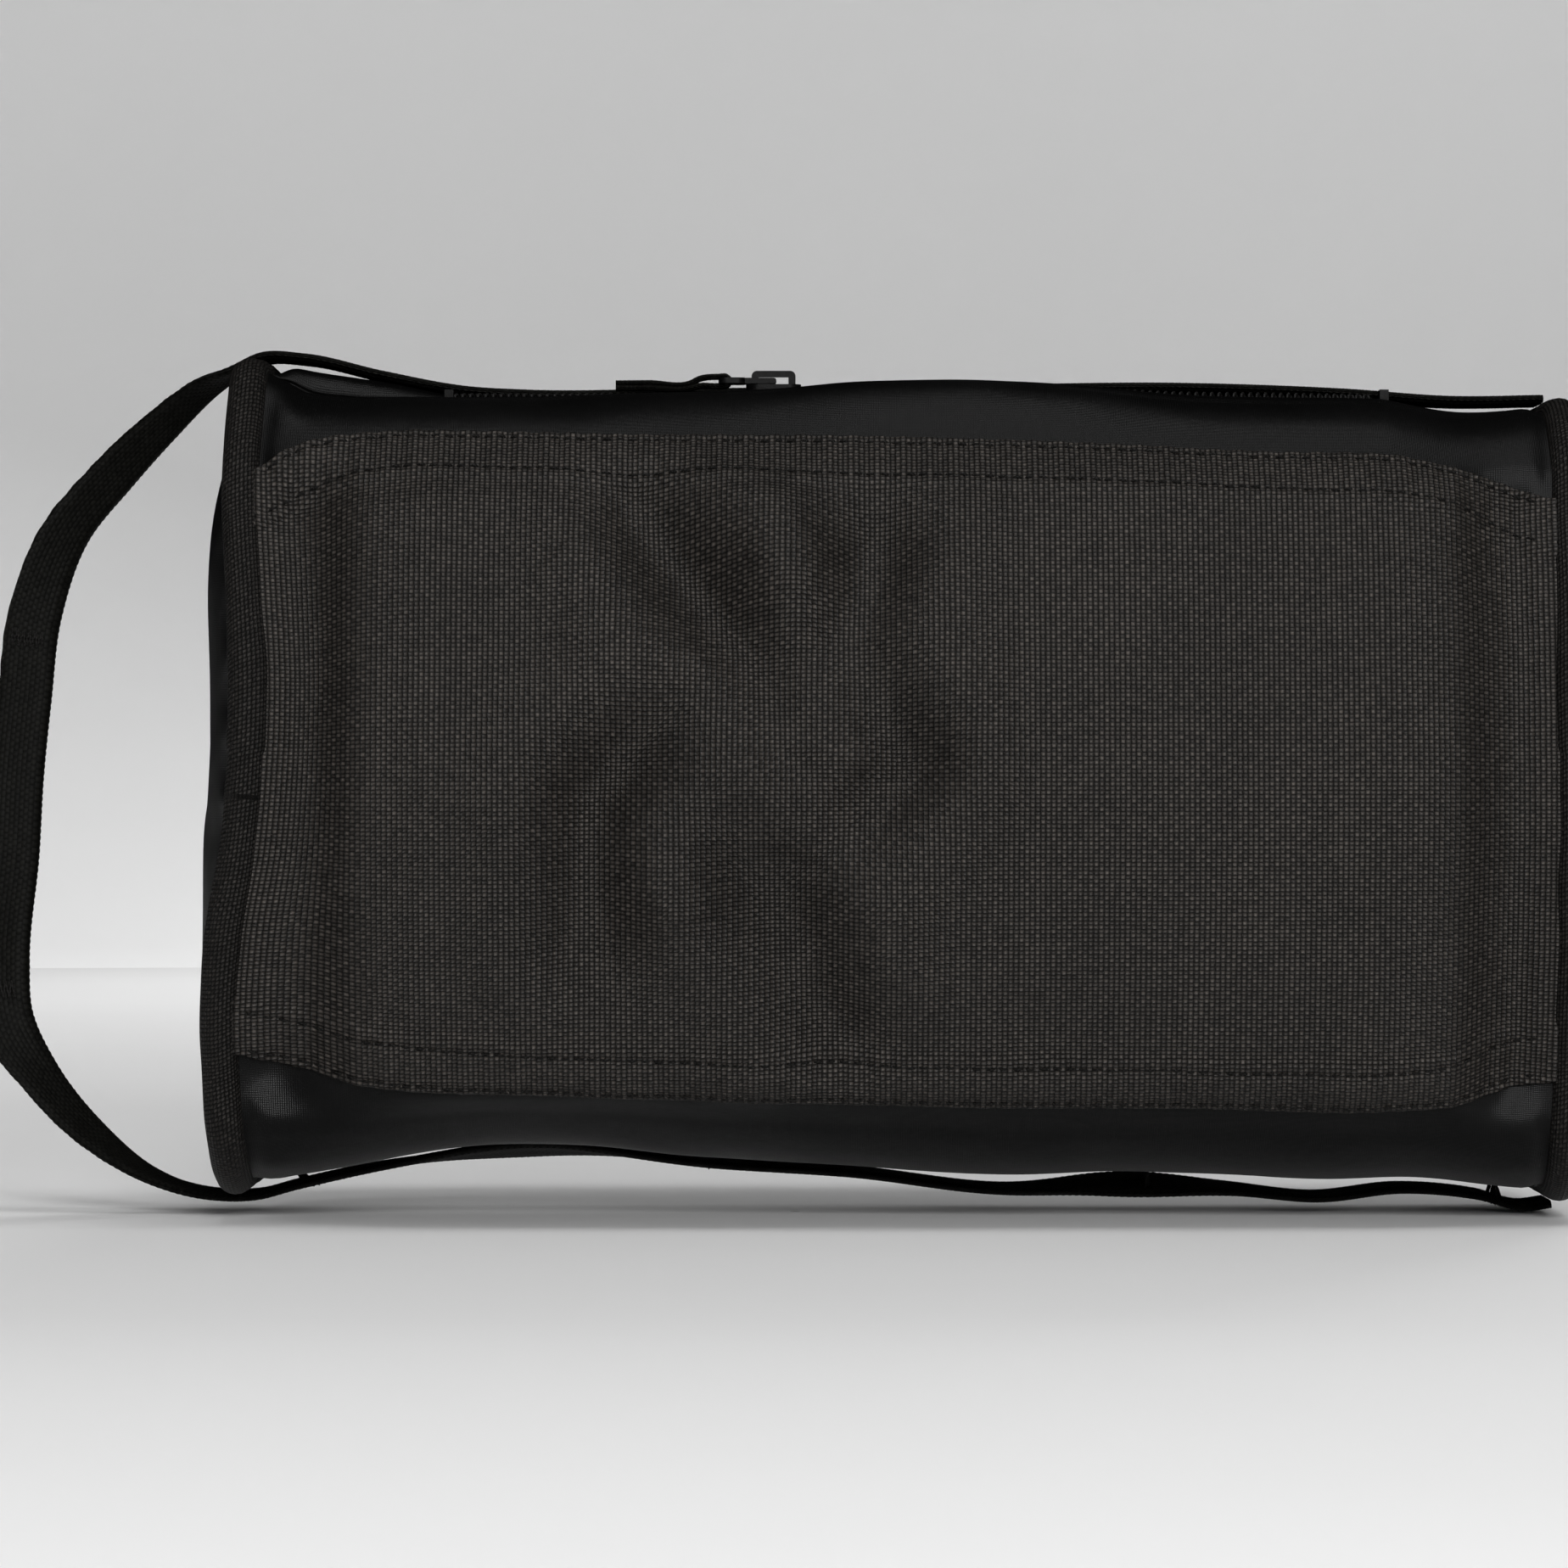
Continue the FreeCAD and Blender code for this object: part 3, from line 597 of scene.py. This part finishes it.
def woven_panel(name, side):
    """Woven panel with its thicker hems and the grooves that the stitches draw in."""
    x, girth, start, end = panel_grid(lambda v: front_hem(v, False), lambda v: front_hem(v, True),
                                      0.8)
    edge = np.minimum(girth - start, end - girth)
    hem = 1 - smooth(HEM_WIDTH - 1.0, HEM_WIDTH + 0.6, edge)
    grooves = sum(np.exp(-((edge - row) / 0.55) ** 2) for row in STITCH_ROWS)
    drawn = 0.16 * np.sin(x * 2 * math.pi / 4.6 + ripple(x, girth, 30, 5)) * hem
    lift = (WOVEN_T + HEM_EXTRA * hem) * edge_round(edge) - 0.32 * grooves + drawn
    around = mirrored(girth, side)
    uv = np.stack([x, around], -1)
    return shell_object(name, skin(x, around, lift), skin(x, around, 0.02), uv, WOVEN)


def stitch_rows(name, side):
    """Lock stitches along both hems of a woven panel."""
    stations = 6
    draw = np.random.default_rng(21 + side)
    runs = []
    for upper, way in ((True, -1), (False, 1)):
        for row in STITCH_ROWS:
            x = np.arange(SEAM_LEFT + 1.5, SEAM_RIGHT - 3, STITCH_PITCH)
            x = x + draw.uniform(-0.08, 0.08, len(x))
            share = np.linspace(0, 1, stations)
            along = x[:, None] + share * STITCH_LENGTH
            wander = draw.normal(0, 0.05, len(x))[:, None]
            girth = front_hem(along, upper) + way * (row + wander)
            arch = np.sin(share * math.pi) ** 0.6
            lift = WOVEN_T + HEM_EXTRA - 0.55 + 0.55 * arch
            runs.append(skin(along, mirrored(girth, side), lift + 0 * along))
    return threads(name, np.concatenate(runs), STITCH_R, THREAD)


def coated_shell(name, low, high, pitch, side, rolled):
    """Coated panel from low to high; rolled turns its high edge under."""
    x, girth, _, end = panel_grid(low, high, pitch)
    around = mirrored(girth, side)
    edge = end - girth if rolled else np.full(girth.shape, 9.0)
    lift = 0.35 * (1 - smooth(4, 5, edge)) * edge_round(edge) - 0.1
    lift = lift - 0.25 * np.exp(-((edge - 2.0) / 0.5) ** 2)
    inner = np.full(girth.shape, -COATED_T)
    uv = np.stack([x, around], -1)
    return shell_object(name, skin(x, around, lift), skin(x, around, inner), uv, COATED)


def mouth_girth(x, side, half):
    """Girth of a line beside the zip's mouth, measured from that side's own face."""
    return TOP_MIDDLE - side * ZIP_Y - half - bow(x)


def make_panels():
    for side, name in ((-1, "front"), (1, "back")):
        place(woven_panel(f"{name}_woven", side), "bag", "woven_fabric", f"{name}_woven_panel")
        place(stitch_rows(f"{name}_stitches", side), "bag", "thread", f"{name}_topstitch")
        strip = coated_shell(f"{name}_strip", lambda x: front_hem(x, True) - HEM_LAP,
                             lambda x, s=side: mouth_girth(x, s, MOUTH_HALF), 1.0, side, True)
        place(strip, "bag", "coated_fabric", f"{name}_top_strip")
    bottom = coated_shell("base", lambda x: -HALF_GIRTH - front_hem(x, False) - HEM_LAP,
                          lambda x: front_hem(x, False) + HEM_LAP, 1.2, -1, False)
    place(bottom, "bag", "coated_fabric", "bottom_panel")


# ---- ends --------------------------------------------------------------------------------
def at_end(end):
    """Outward direction along x, and the seam's place, at the left or right end."""
    return (-1, SEAM_LEFT) if end == "left" else (1, SEAM_RIGHT)


def ring_tube(name, end, radius, lift, material, sides, weave=1.0):
    """Tube that follows the end seam all round. Its cover's raw end laps over its start."""
    pitch, past_seam = 0.9, 0.6
    join, lap_height = 8.0, 0.35              # where the raw end lies, and how high it stands
    bias = 0.315                              # slant of the weave, along for each around
    way, seam = at_end(end)
    girth = np.arange(0, 2 * HALF_GIRTH, pitch)
    girth = girth * 2 * HALF_GIRTH / (len(girth) * pitch)
    centre = skin(np.full(len(girth), seam + past_seam * way), girth, lift)
    centre[:, 0] += PIPING_X[end] - seam - past_seam * way
    run = np.roll(centre, -1, 0) - np.roll(centre, 1, 0)
    run /= np.linalg.norm(run, axis=1, keepdims=True)
    out = np.cross(run, [1.0, 0, 0])
    out /= np.linalg.norm(out, axis=1, keepdims=True)
    along = np.cross(out, run)
    turn = np.linspace(0, 2 * math.pi, sides, endpoint=False)
    lap = smooth(join - 0.3, join + 0.3, girth) * (1 - smooth(join + 8, join + 30, girth))
    lap = lap_height * lap
    wobble = 0.10 * ripple(girth, 0 * girth, 9, 31 + way) * weave
    size = (radius + (lap + wobble) * weave)[:, None, None]
    points = centre[:, None] + size * (np.cos(turn)[:, None] * out[:, None]
                                       + np.sin(turn)[:, None] * along[:, None])
    around = np.broadcast_to(turn * radius, (len(girth), sides))
    uv = np.stack([girth[:, None] + bias * around, around], -1)
    return grid_object(name, points, uv, material, wrap_rows=True, wrap_cols=True)


def disc(name, end, depth, inset, lift, material, thickness):
    """Closed cushion-like disc inside the piping, bulging by depth, with soft puckers."""
    way, seam = at_end(end)
    girth = np.linspace(0, 2 * HALF_GIRTH, 360, endpoint=False)
    share = np.concatenate([[0.002, 0.005, 0.01, 0.025, 0.05], np.linspace(0.08, 0.9, 26),
                            [0.93, 0.955, 0.975, 0.99, 1.0]])
    rim = skin(np.full(len(girth), seam), girth, lift)
    rim[:, 0] += inset * way
    heart = rim.mean(0)
    flat = heart + share[:, None, None] * (rim - heart)
    u, v = np.meshgrid(share, girth, indexing="ij")
    bulge = depth * (1 - u ** 3.2) ** 0.75
    pucker = 0.5 * ripple(0.0 * u, v, 9, 41 + way) * smooth(0.74, 0.95, u)
    pucker = pucker * (1 - smooth(0.96, 1, u))
    slack = 0.8 * ripple(flat[..., 1], flat[..., 2], 30, 43 + way) * (1 - u ** 4)
    flat[..., 0] = flat[..., 0] + way * (bulge + (pucker + slack) * min(depth / 8, 1))
    inner = flat.copy()
    inner[..., 0] -= way * thickness
    order = slice(None) if way < 0 else slice(None, None, -1)
    outer, inner = flat[:, order], inner[:, order]
    closed = np.concatenate([outer, inner[::-1]], 0)
    uv = np.concatenate([flat[:, order][..., 1:], inner[::-1][..., 1:]], 0)
    return grid_object(name, closed, uv, material, wrap_rows=True, wrap_cols=True)


def seam_band(name, end):
    """Binding tape folded over the raw edges inside the end seam."""
    way, seam = at_end(end)
    girth = np.linspace(0, 2 * HALF_GIRTH, 300, endpoint=False)
    reach, thick, top = 7.0, 1.2, -4.2
    profile = [(0.0, top), (0.0, top - reach + thick), (thick, top - reach),
               (2 * thick, top - reach + thick), (2 * thick, top)]
    rows = []
    for shift, lift in profile:
        row = skin(np.full(len(girth), seam), girth, lift)
        row[:, 0] += way * shift
        rows.append(row)
    points = np.array(rows)[:, ::1 if way < 0 else -1]
    uv = np.stack(np.broadcast_arrays(girth[None], np.arange(len(rows))[:, None] * 1.7), -1)
    return grid_object(name, points, uv, BINDING, wrap_rows=True, wrap_cols=True)


def make_ends():
    for end in ("left", "right"):
        place(ring_tube(f"{end}_piping", end, PIPING_R, PIPING_LIFT, PIPING, 20), "bag",
              "piping_fabric", f"{end}_piping_cover")
        place(ring_tube(f"{end}_cord", end, CORD_R, PIPING_LIFT, CORD, 10, 0.3), "bag",
              "cord_filler", f"{end}_piping_cord")
        place(disc(f"{end}_end", end, DOME_DEPTH, 2.6, -3.0, COATED, COATED_T), "bag",
              "coated_fabric", f"{end}_end_panel")
        place(disc(f"{end}_end_lining", end, 0.8, -1.4, -2.6, LINING, LINING_T), "bag", "lining",
              f"{end}_lining_end")
        place(seam_band(f"{end}_binding", end), "bag", "binding_tape", f"{end}_seam_binding")


# ---- zip ---------------------------------------------------------------------------------
def zip_band(name, side, half_in, half_out, x0, x1, lift, thickness, material):
    """Band beside the zip's line, between two distances from it."""
    x = np.arange(x0, x1 + 0.01, 0.9)
    share = np.linspace(0, 1, 12)[:, None]
    start, end = mouth_girth(x, side, half_out), mouth_girth(x, side, half_in)
    girth = mirrored(start + share * (end - start), side)
    along = np.broadcast_to(x, girth.shape)
    uv = np.stack([along, girth], -1)
    return shell_object(name, skin(along, girth, lift), skin(along, girth, lift - thickness), uv,
                        material)


def zip_coil(name, side):
    """Nylon helix, one turn to a tooth; shut, its turns reach past the middle of the zip."""
    stations, sides, mesh_past_middle = 12, 6, 0.7
    length = ZIP_RIGHT - ZIP_LEFT
    turns = int(length / COIL_PITCH)
    turn = np.arange(turns * stations + 1) / stations
    half_step = 0.5 if side > 0 else 0.0
    x = ZIP_LEFT + (turn + half_step) * (length - COIL_PITCH) / turns
    shut = 1 - smooth(SLIDER_X - 2, OPEN_LEFT, x)
    half_w = (COIL_W + shut * mesh_past_middle) / 2
    out = COIL_HALF_GAP + COIL_W - half_w + bow(x)
    angle = 2 * math.pi * turn
    y = ZIP_Y + side * (out + (half_w - COIL_WIRE_R) * np.cos(angle))
    half_h = (COIL_TOP - COIL_BASE) / 2
    z = COIL_BASE + half_h + (half_h - COIL_WIRE_R) * np.sin(angle)
    base = skin(x, mirrored(mouth_girth(x, side, COIL_HALF_GAP + 1.3), side), -COATED_T)
    z = z + base[:, 2] - COIL_BASE
    path = np.stack([x, y, z], -1)
    points = tube_points(path, np.full(len(path), COIL_WIRE_R), sides)
    uv = np.stack(np.broadcast_arrays(turn[:, None] * 8.0, np.arange(sides)[None] * 0.3), -1)
    return grid_object(name, points, uv, WIRE, wrap_cols=True)


def end_tab(name, x0, x1):
    """Coated patch that closes the mouth past the zip's end."""
    x = np.arange(x0, x1 + 0.01, 1.0)
    share = np.linspace(-1, 1, 15)[:, None]
    girth = TOP_MIDDLE + ZIP_Y + share * (MOUTH_HALF + 1.5)
    along = np.broadcast_to(x, girth.shape[:1] + x.shape)
    girth = girth + 0 * along
    lift = -0.7 + 0.2 * (1 - share ** 2) + 0 * along
    uv = np.stack([along, girth], -1)
    return shell_object(name, skin(along, girth, lift), skin(along, girth, lift - COATED_T), uv,
                        COATED)


def lining_wrap():
    """Lining inside the skin, parted along the zip."""
    x = np.arange(SEAM_LEFT + 1.2, SEAM_RIGHT - 1.1, 2.0)
    slit, ramp, depth, thickness = 0.4, 4, -2.2, 0.5
    along_zip = smooth(TAPE_LEFT, TAPE_LEFT + ramp, x) * (1 - smooth(TAPE_RIGHT - ramp, TAPE_RIGHT, x))
    open_half = slit + (MOUTH_HALF + bow(x) - slit) * along_zip
    start = TOP_MIDDLE + ZIP_Y + open_half
    end = TOP_MIDDLE + ZIP_Y + 2 * HALF_GIRTH - open_half
    girth = start + np.linspace(0, 1, 230)[:, None] * (end - start)
    along = np.broadcast_to(x, girth.shape)
    slack = 0.5 * ripple(along, girth, 14, 51)
    uv = np.stack([along, girth], -1)
    return shell_object("compartment_lining", skin(along, girth, depth + slack),
                        skin(along, girth, depth - thickness + slack), uv, LINING)


def make_zip():
    for side, name in ((-1, "front"), (1, "back")):
        tape = zip_band(f"zip_tape_{name}_cloth", side, COIL_HALF_GAP, TAPE_HALF, TAPE_LEFT,
                        TAPE_RIGHT, -COATED_T - 0.1, TAPE_T, TAPE)
        place(tape, "bag", "zip_tape", f"zip_tape_{name}")
        place(zip_coil(f"zip_coil_{name}_wire", side), "bag", "zip_coil", f"zip_coil_{name}")
    place(end_tab("zip_tab_left", SEAM_LEFT, TAPE_LEFT + 1), "bag", "coated_fabric",
          "zip_end_tab_left")
    place(end_tab("zip_tab_right", TAPE_RIGHT - 1, SEAM_RIGHT), "bag", "coated_fabric",
          "zip_end_tab_right")
    place(lining_wrap(), "bag", "lining", "lining_wrap")


# ---- webbing and ribbon --------------------------------------------------------------------
class Band:
    """Ribbed tape swept along a path in the X-Z plane, folded or rolled along the way."""

    def __init__(self, path, y, half_width, thickness, fold=None, roll=None):
        path = np.array(path, float)
        place_on_path = np.concatenate([[0], np.cumsum(np.hypot(*np.diff(path, axis=0).T))])
        self.length, self.y = place_on_path[-1], y
        self.half_width, self.thickness = half_width, thickness
        self.x_of = np.column_stack([place_on_path, path[:, 0]])
        self.z_of = np.column_stack([place_on_path, path[:, 1]])
        self.fold = fold or (lambda x, z: 0 * x)
        self.roll = roll or (lambda x, z: 0 * x)

    def point(self, s, w, lift):
        """Point at s along the band and w across it, lift outwards from its middle layer."""
        s, w, lift = np.broadcast_arrays(s, w, lift)
        x, z = through(self.x_of, s), through(self.z_of, s)
        ahead = np.stack([through(self.x_of, s + 0.5), through(self.z_of, s + 0.5)])
        behind = np.stack([through(self.x_of, s - 0.5), through(self.z_of, s - 0.5)])
        run_x, run_z = (ahead - behind) / np.linalg.norm(ahead - behind, axis=0)
        fold = self.fold(x, z)
        reach = np.abs(w)
        bend = 2.4
        turned = fold * smooth(0, bend, reach)
        part = reach[..., None] * np.linspace(0.05, 0.95, 10)
        turning = fold[..., None] * smooth(0, bend, part)
        side = np.sign(w)
        across = side * reach * np.cos(turning).mean(-1) - side * lift * np.sin(turned)
        out = reach * np.sin(turning).mean(-1) + lift * np.cos(turned)
        roll = self.roll(x, z)
        across, out = (across * np.cos(roll) - out * np.sin(roll),
                       across * np.sin(roll) + out * np.cos(roll))
        return np.stack([x + out * run_z, self.y + across, z - out * run_x], -1)

    def mesh(self, name, pitch, relief, material, seed):
        """Closed mesh with ribs of that pitch on both of its faces."""
        s = np.linspace(0, self.length, int(self.length / (pitch / 4)))[None, :]
        half = self.half_width
        shares = np.array([0, 0.05, 0.12, 0.2, 0.3, 0.42, 0.55, 0.68, 0.8, 0.9, 0.965, 1.0])
        w = np.concatenate([-shares[:0:-1], shares])[:, None] * half
        selvage = np.sqrt(np.clip(1.02 - (w / half) ** 16, 0.0, 1))
        column = np.round((w + half) / YARN)
        phase = 0.5 * (column % 2)
        rib = np.abs(np.sin((s / pitch + phase) * math.pi))
        frayed = 0.12 * ripple(s, 3 * w, 2.0, seed)
        edge = w + np.sign(w) * frayed * (np.abs(w) > 0.95 * half)
        thick = self.thickness / 2 * selvage + relief * (rib - 0.5)
        uv = np.stack(np.broadcast_arrays(s, w), -1)
        return shell_object(name, self.point(s, edge, thick), self.point(s, edge, -thick), uv,
                            material)


# Middle line of the webbing: along the top, round the handle, and back under the bag.
TOP_RUN = ((137, 149.4), (121, 149.2), (100, 150.6), (72, 151.6), (30, 151.2), (-20, 150.6),
           (-50, 150.4), (-60, 151.0), (-76, 153.9), (-90, 157.0), (-98, 157.2))
LOOP = ((-106, 152), (-115, 143), (-123, 134), (-131, 124), (-136, 110), (-138, 94),
        (-139.4, 80), (-140.2, 66), (-142, 46), (-141.5, 37), (-137, 27), (-128, 15.5),
        (-118.5, 7.4), (-109, 3.6))
BOTTOM_RUN = ((-99, 3.2), (-91.9, 5.0), (-76.3, 8.4), (-46.5, 11.6), (-13.7, 8.9), (9.8, 7.4),
              (39.5, 4.2), (56.8, 5.0), (80.2, 4.2), (95.9, 2.8), (111.5, 4.4), (125.6, 3.2),
              (134, 1.2), (138.5, 1.8))
GRIP_LOW, GRIP_HIGH = 38.0, 108.0
FOLD_BY_HEIGHT = ((3, 0), (8, 10), (16, 28), (27, 45), (33, 66), (GRIP_LOW, 88), (70, 90),
                  (GRIP_HIGH - 6, 90), (112, 74), (124, 56), (134, 48), (143, 36), (152, 16),
                  (157, 0))


def grip_fold(x, z):
    """How far each half of the webbing is folded outwards, in radians."""
    return np.radians(through(FOLD_BY_HEIGHT, z)) * (1 - smooth(-108, -99, x))


def loose_roll(x, z):
    """The lower run hangs a little twisted."""
    low = 1 - smooth(20, 30, z)
    return np.radians(8) * low * (np.exp(-((x + 50) / 18) ** 2) - np.exp(-((x - 62) / 14) ** 2))


webbing = Band(TOP_RUN + LOOP + BOTTOM_RUN, WEB_Y, WEB_HALF, WEB_T, grip_fold, loose_roll)


def along_loop(height):
    """How far along the webbing its handle passes a height."""
    s = np.linspace(0, webbing.length, 4000)
    x, z = through(webbing.x_of, s), through(webbing.z_of, s)
    return s[np.argmin(np.abs(z - height) + 1e3 * (x > -110))]


def bar_tacks():
    """Close zigzag stitches through the folded webbing at each end of the grip."""
    runs = []
    for height in (GRIP_LOW + 3, GRIP_HIGH - 3):
        middle_s = along_loop(height)
        for side in (-1, 1):
            for i in range(11):
                w = side * np.linspace(2.6 + 0.55 * i, 3.15 + 0.55 * i, 5)
                swing = 1.6 * np.array([-1, -0.5, 0, 0.5, 1]) * (1 if i % 2 else -1)
                lift = -0.75 - 0.16 - 0.12 * np.array([0, 1, 1, 1, 0])
                runs.append(webbing.point(middle_s + swing, w, lift))
    return threads("grip_stitches", np.array(runs), 0.24, THREAD)


def base_tacks():
    """Threads that hold the lower webbing up to the bottom panel."""
    draw = np.random.default_rng(61)
    low, high = span("webbing_tacks")
    runs = []
    s = np.linspace(webbing.length - 238, webbing.length, 900)
    web_x, web_z = through(webbing.x_of, s), through(webbing.z_of, s)
    order = np.argsort(web_x)
    for x in (low[0] + 1.5, low[0] + 75.5, high[0] - 65.5, high[0] - 1.5):
        for y in np.linspace(low[1] + 1, high[1] - 1, 9):
            top = skin(x, -TOP_MIDDLE - y, 0.4)
            z0 = np.interp(x, web_x[order], web_z[order]) - 0.9
            lean = draw.uniform(-1.2, 1.2, 2)
            foot = np.array([x + lean[0], y + lean[1] * 0.4, z0])
            runs.append(foot + np.linspace(0, 1, 5)[:, None] * (top - foot))
    return threads("base_stitches", np.array(runs), 0.28, THREAD)


def ribbon_path():
    """Loop of the pull's ribbon, round the link's eye and back."""
    low, high = span("pull_ribbon")
    axis = (low[2] + high[2]) / 2
    right, left = high[0] - 0.5, low[0] + 0.4
    return ((left, axis - 1.3), (left + 6, axis - 1.3), (left + 14, axis - 1.2),
            (right - 6, axis - 0.95), (right - 2.2, axis - 0.9), (right - 0.6, axis - 0.75),
            (right, axis), (right - 0.6, axis + 0.75), (right - 2.2, axis + 0.8),
            (right - 6, axis + 0.25), (left + 14, axis - 0.2), (left + 6, axis - 0.35),
            (left, axis - 0.4))


def make_webbing():
    strap = webbing.mesh("webbing_strap", WEB_PITCH, 0.13, WEBBING, 71)
    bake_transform(strap)
    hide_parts("webbing_top", "webbing_bottom", "handle_strap")
    place(bar_tacks(), "handle", "thread", "handle_grip_tacks")
    place(base_tacks(), "bag", "thread", "webbing_tacks")
    ribbon = Band(ribbon_path(), middle("pull_ribbon")[1], RIBBON_HALF, RIBBON_T)
    place(ribbon.mesh("ribbon_pull", RIBBON_PITCH, 0.10, RIBBON, 73), "pull", "ribbon",
          "pull_ribbon")


def finish_metal():
    """The slider, its pull's link and the stops keep their CAD shape, with softened edges."""
    for node in ("slider_body", "slider_crown", "pull_link", "zip_stops"):
        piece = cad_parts[node]
        piece.data.materials.clear()
        piece.data.materials.append(ENAMEL)
        bevel = piece.modifiers.new("soft edges", "BEVEL")
        bevel.width = 0.2 * MM
        bevel.segments = 2
        bevel.limit_method = "ANGLE"
        bevel.angle_limit = math.radians(35)


# ---- studio ------------------------------------------------------------------------------
def studio_surface(name, profile, level):
    """Round surface swept from (radius, height) points."""
    turn = np.linspace(0, 2 * math.pi, 96, endpoint=False)
    points = np.array([[r * math.cos(a), r * math.sin(a), z] for r, z in profile for a in turn])
    faces = quads(len(profile), len(turn), wrap_cols=True)
    shade = Shade(name)
    cloud = shade.noise(6.0, 3.0)
    material = shade.finish(shade.mix(cloud, grey(level * 0.97), grey(level)), 0.7)
    made = mesh_object(name, points, faces, points[:, :2], material)
    return made


FLOOR_GREY, WALL_GREY, WORLD_LIGHT = 0.70, 0.80, 0.12
# Name, place, size, watts, and whether it shows in glossy surfaces.
LIGHTS = (
    ("overhead", (0.1, -0.3, 1.8), (1.2, 0.5), 11, True),
    ("front_key", (0.3, -2.0, 0.6), (0.6, 0.5), 40, True),
    ("left_fill", (-1.7, -0.2, 0.9), (0.6, 0.8), 4, False),
    ("back_fill", (0.5, 1.9, 0.9), (0.9, 0.7), 24, False),
)


def make_studio():
    """Pale floor that curves up into a round wall, far enough away for every view."""
    radius, corner, height = 2600.0, 700.0, 2200.0
    edge = radius - corner
    studio_surface("studio_floor", [(r, 0.0) for r in (1.0, 600.0, 1400.0, edge)],
                   FLOOR_GREY)
    bend = np.linspace(0, math.pi / 2, 12)
    wall = [(edge + corner * math.sin(a), corner * (1 - math.cos(a))) for a in bend]
    wall = studio_surface("studio_wall", wall + [(radius, height)], WALL_GREY)
    wall.visible_glossy = False
    world = bpy.data.worlds.new("studio")
    world.use_nodes = True
    background = world.node_tree.nodes["Background"]
    background.inputs["Color"].default_value = (1, 1, 1, 1)
    background.inputs["Strength"].default_value = WORLD_LIGHT
    world.cycles_visibility.glossy = False
    bpy.context.scene.world = world


def area_light(name, place, size, watts, glossy):
    """Soft rectangular light that faces the bag."""
    target = (0, 0, 0.08)
    data = bpy.data.lights.new(name, "AREA")
    data.shape = "RECTANGLE"
    data.size, data.size_y = size
    data.energy = watts
    light = bpy.data.objects.new(name, data)
    light.location = place
    light.rotation_euler = (Vector(target) - Vector(place)).to_track_quat("-Z", "Y").to_euler()
    light.visible_camera = False
    light.visible_glossy = glossy
    bpy.context.scene.collection.objects.link(light)


def make_camera():
    """Camera level with the middle of the front, as in the photo."""
    data = bpy.data.cameras.new("camera")
    data.sensor_width, data.lens = 36.0, 176.6
    camera = bpy.data.objects.new("camera", data)
    camera.location = (-0.0021, -1.419, 0.0788)
    camera.rotation_euler = (math.pi / 2, 0, 0)
    bpy.context.scene.collection.objects.link(camera)
    bpy.context.scene.camera = camera
    bpy.context.scene.view_settings.view_transform = "Standard"


make_camera()
make_panels()
make_ends()
make_zip()
make_webbing()
finish_metal()
make_studio()
for settings in LIGHTS:
    area_light(*settings)
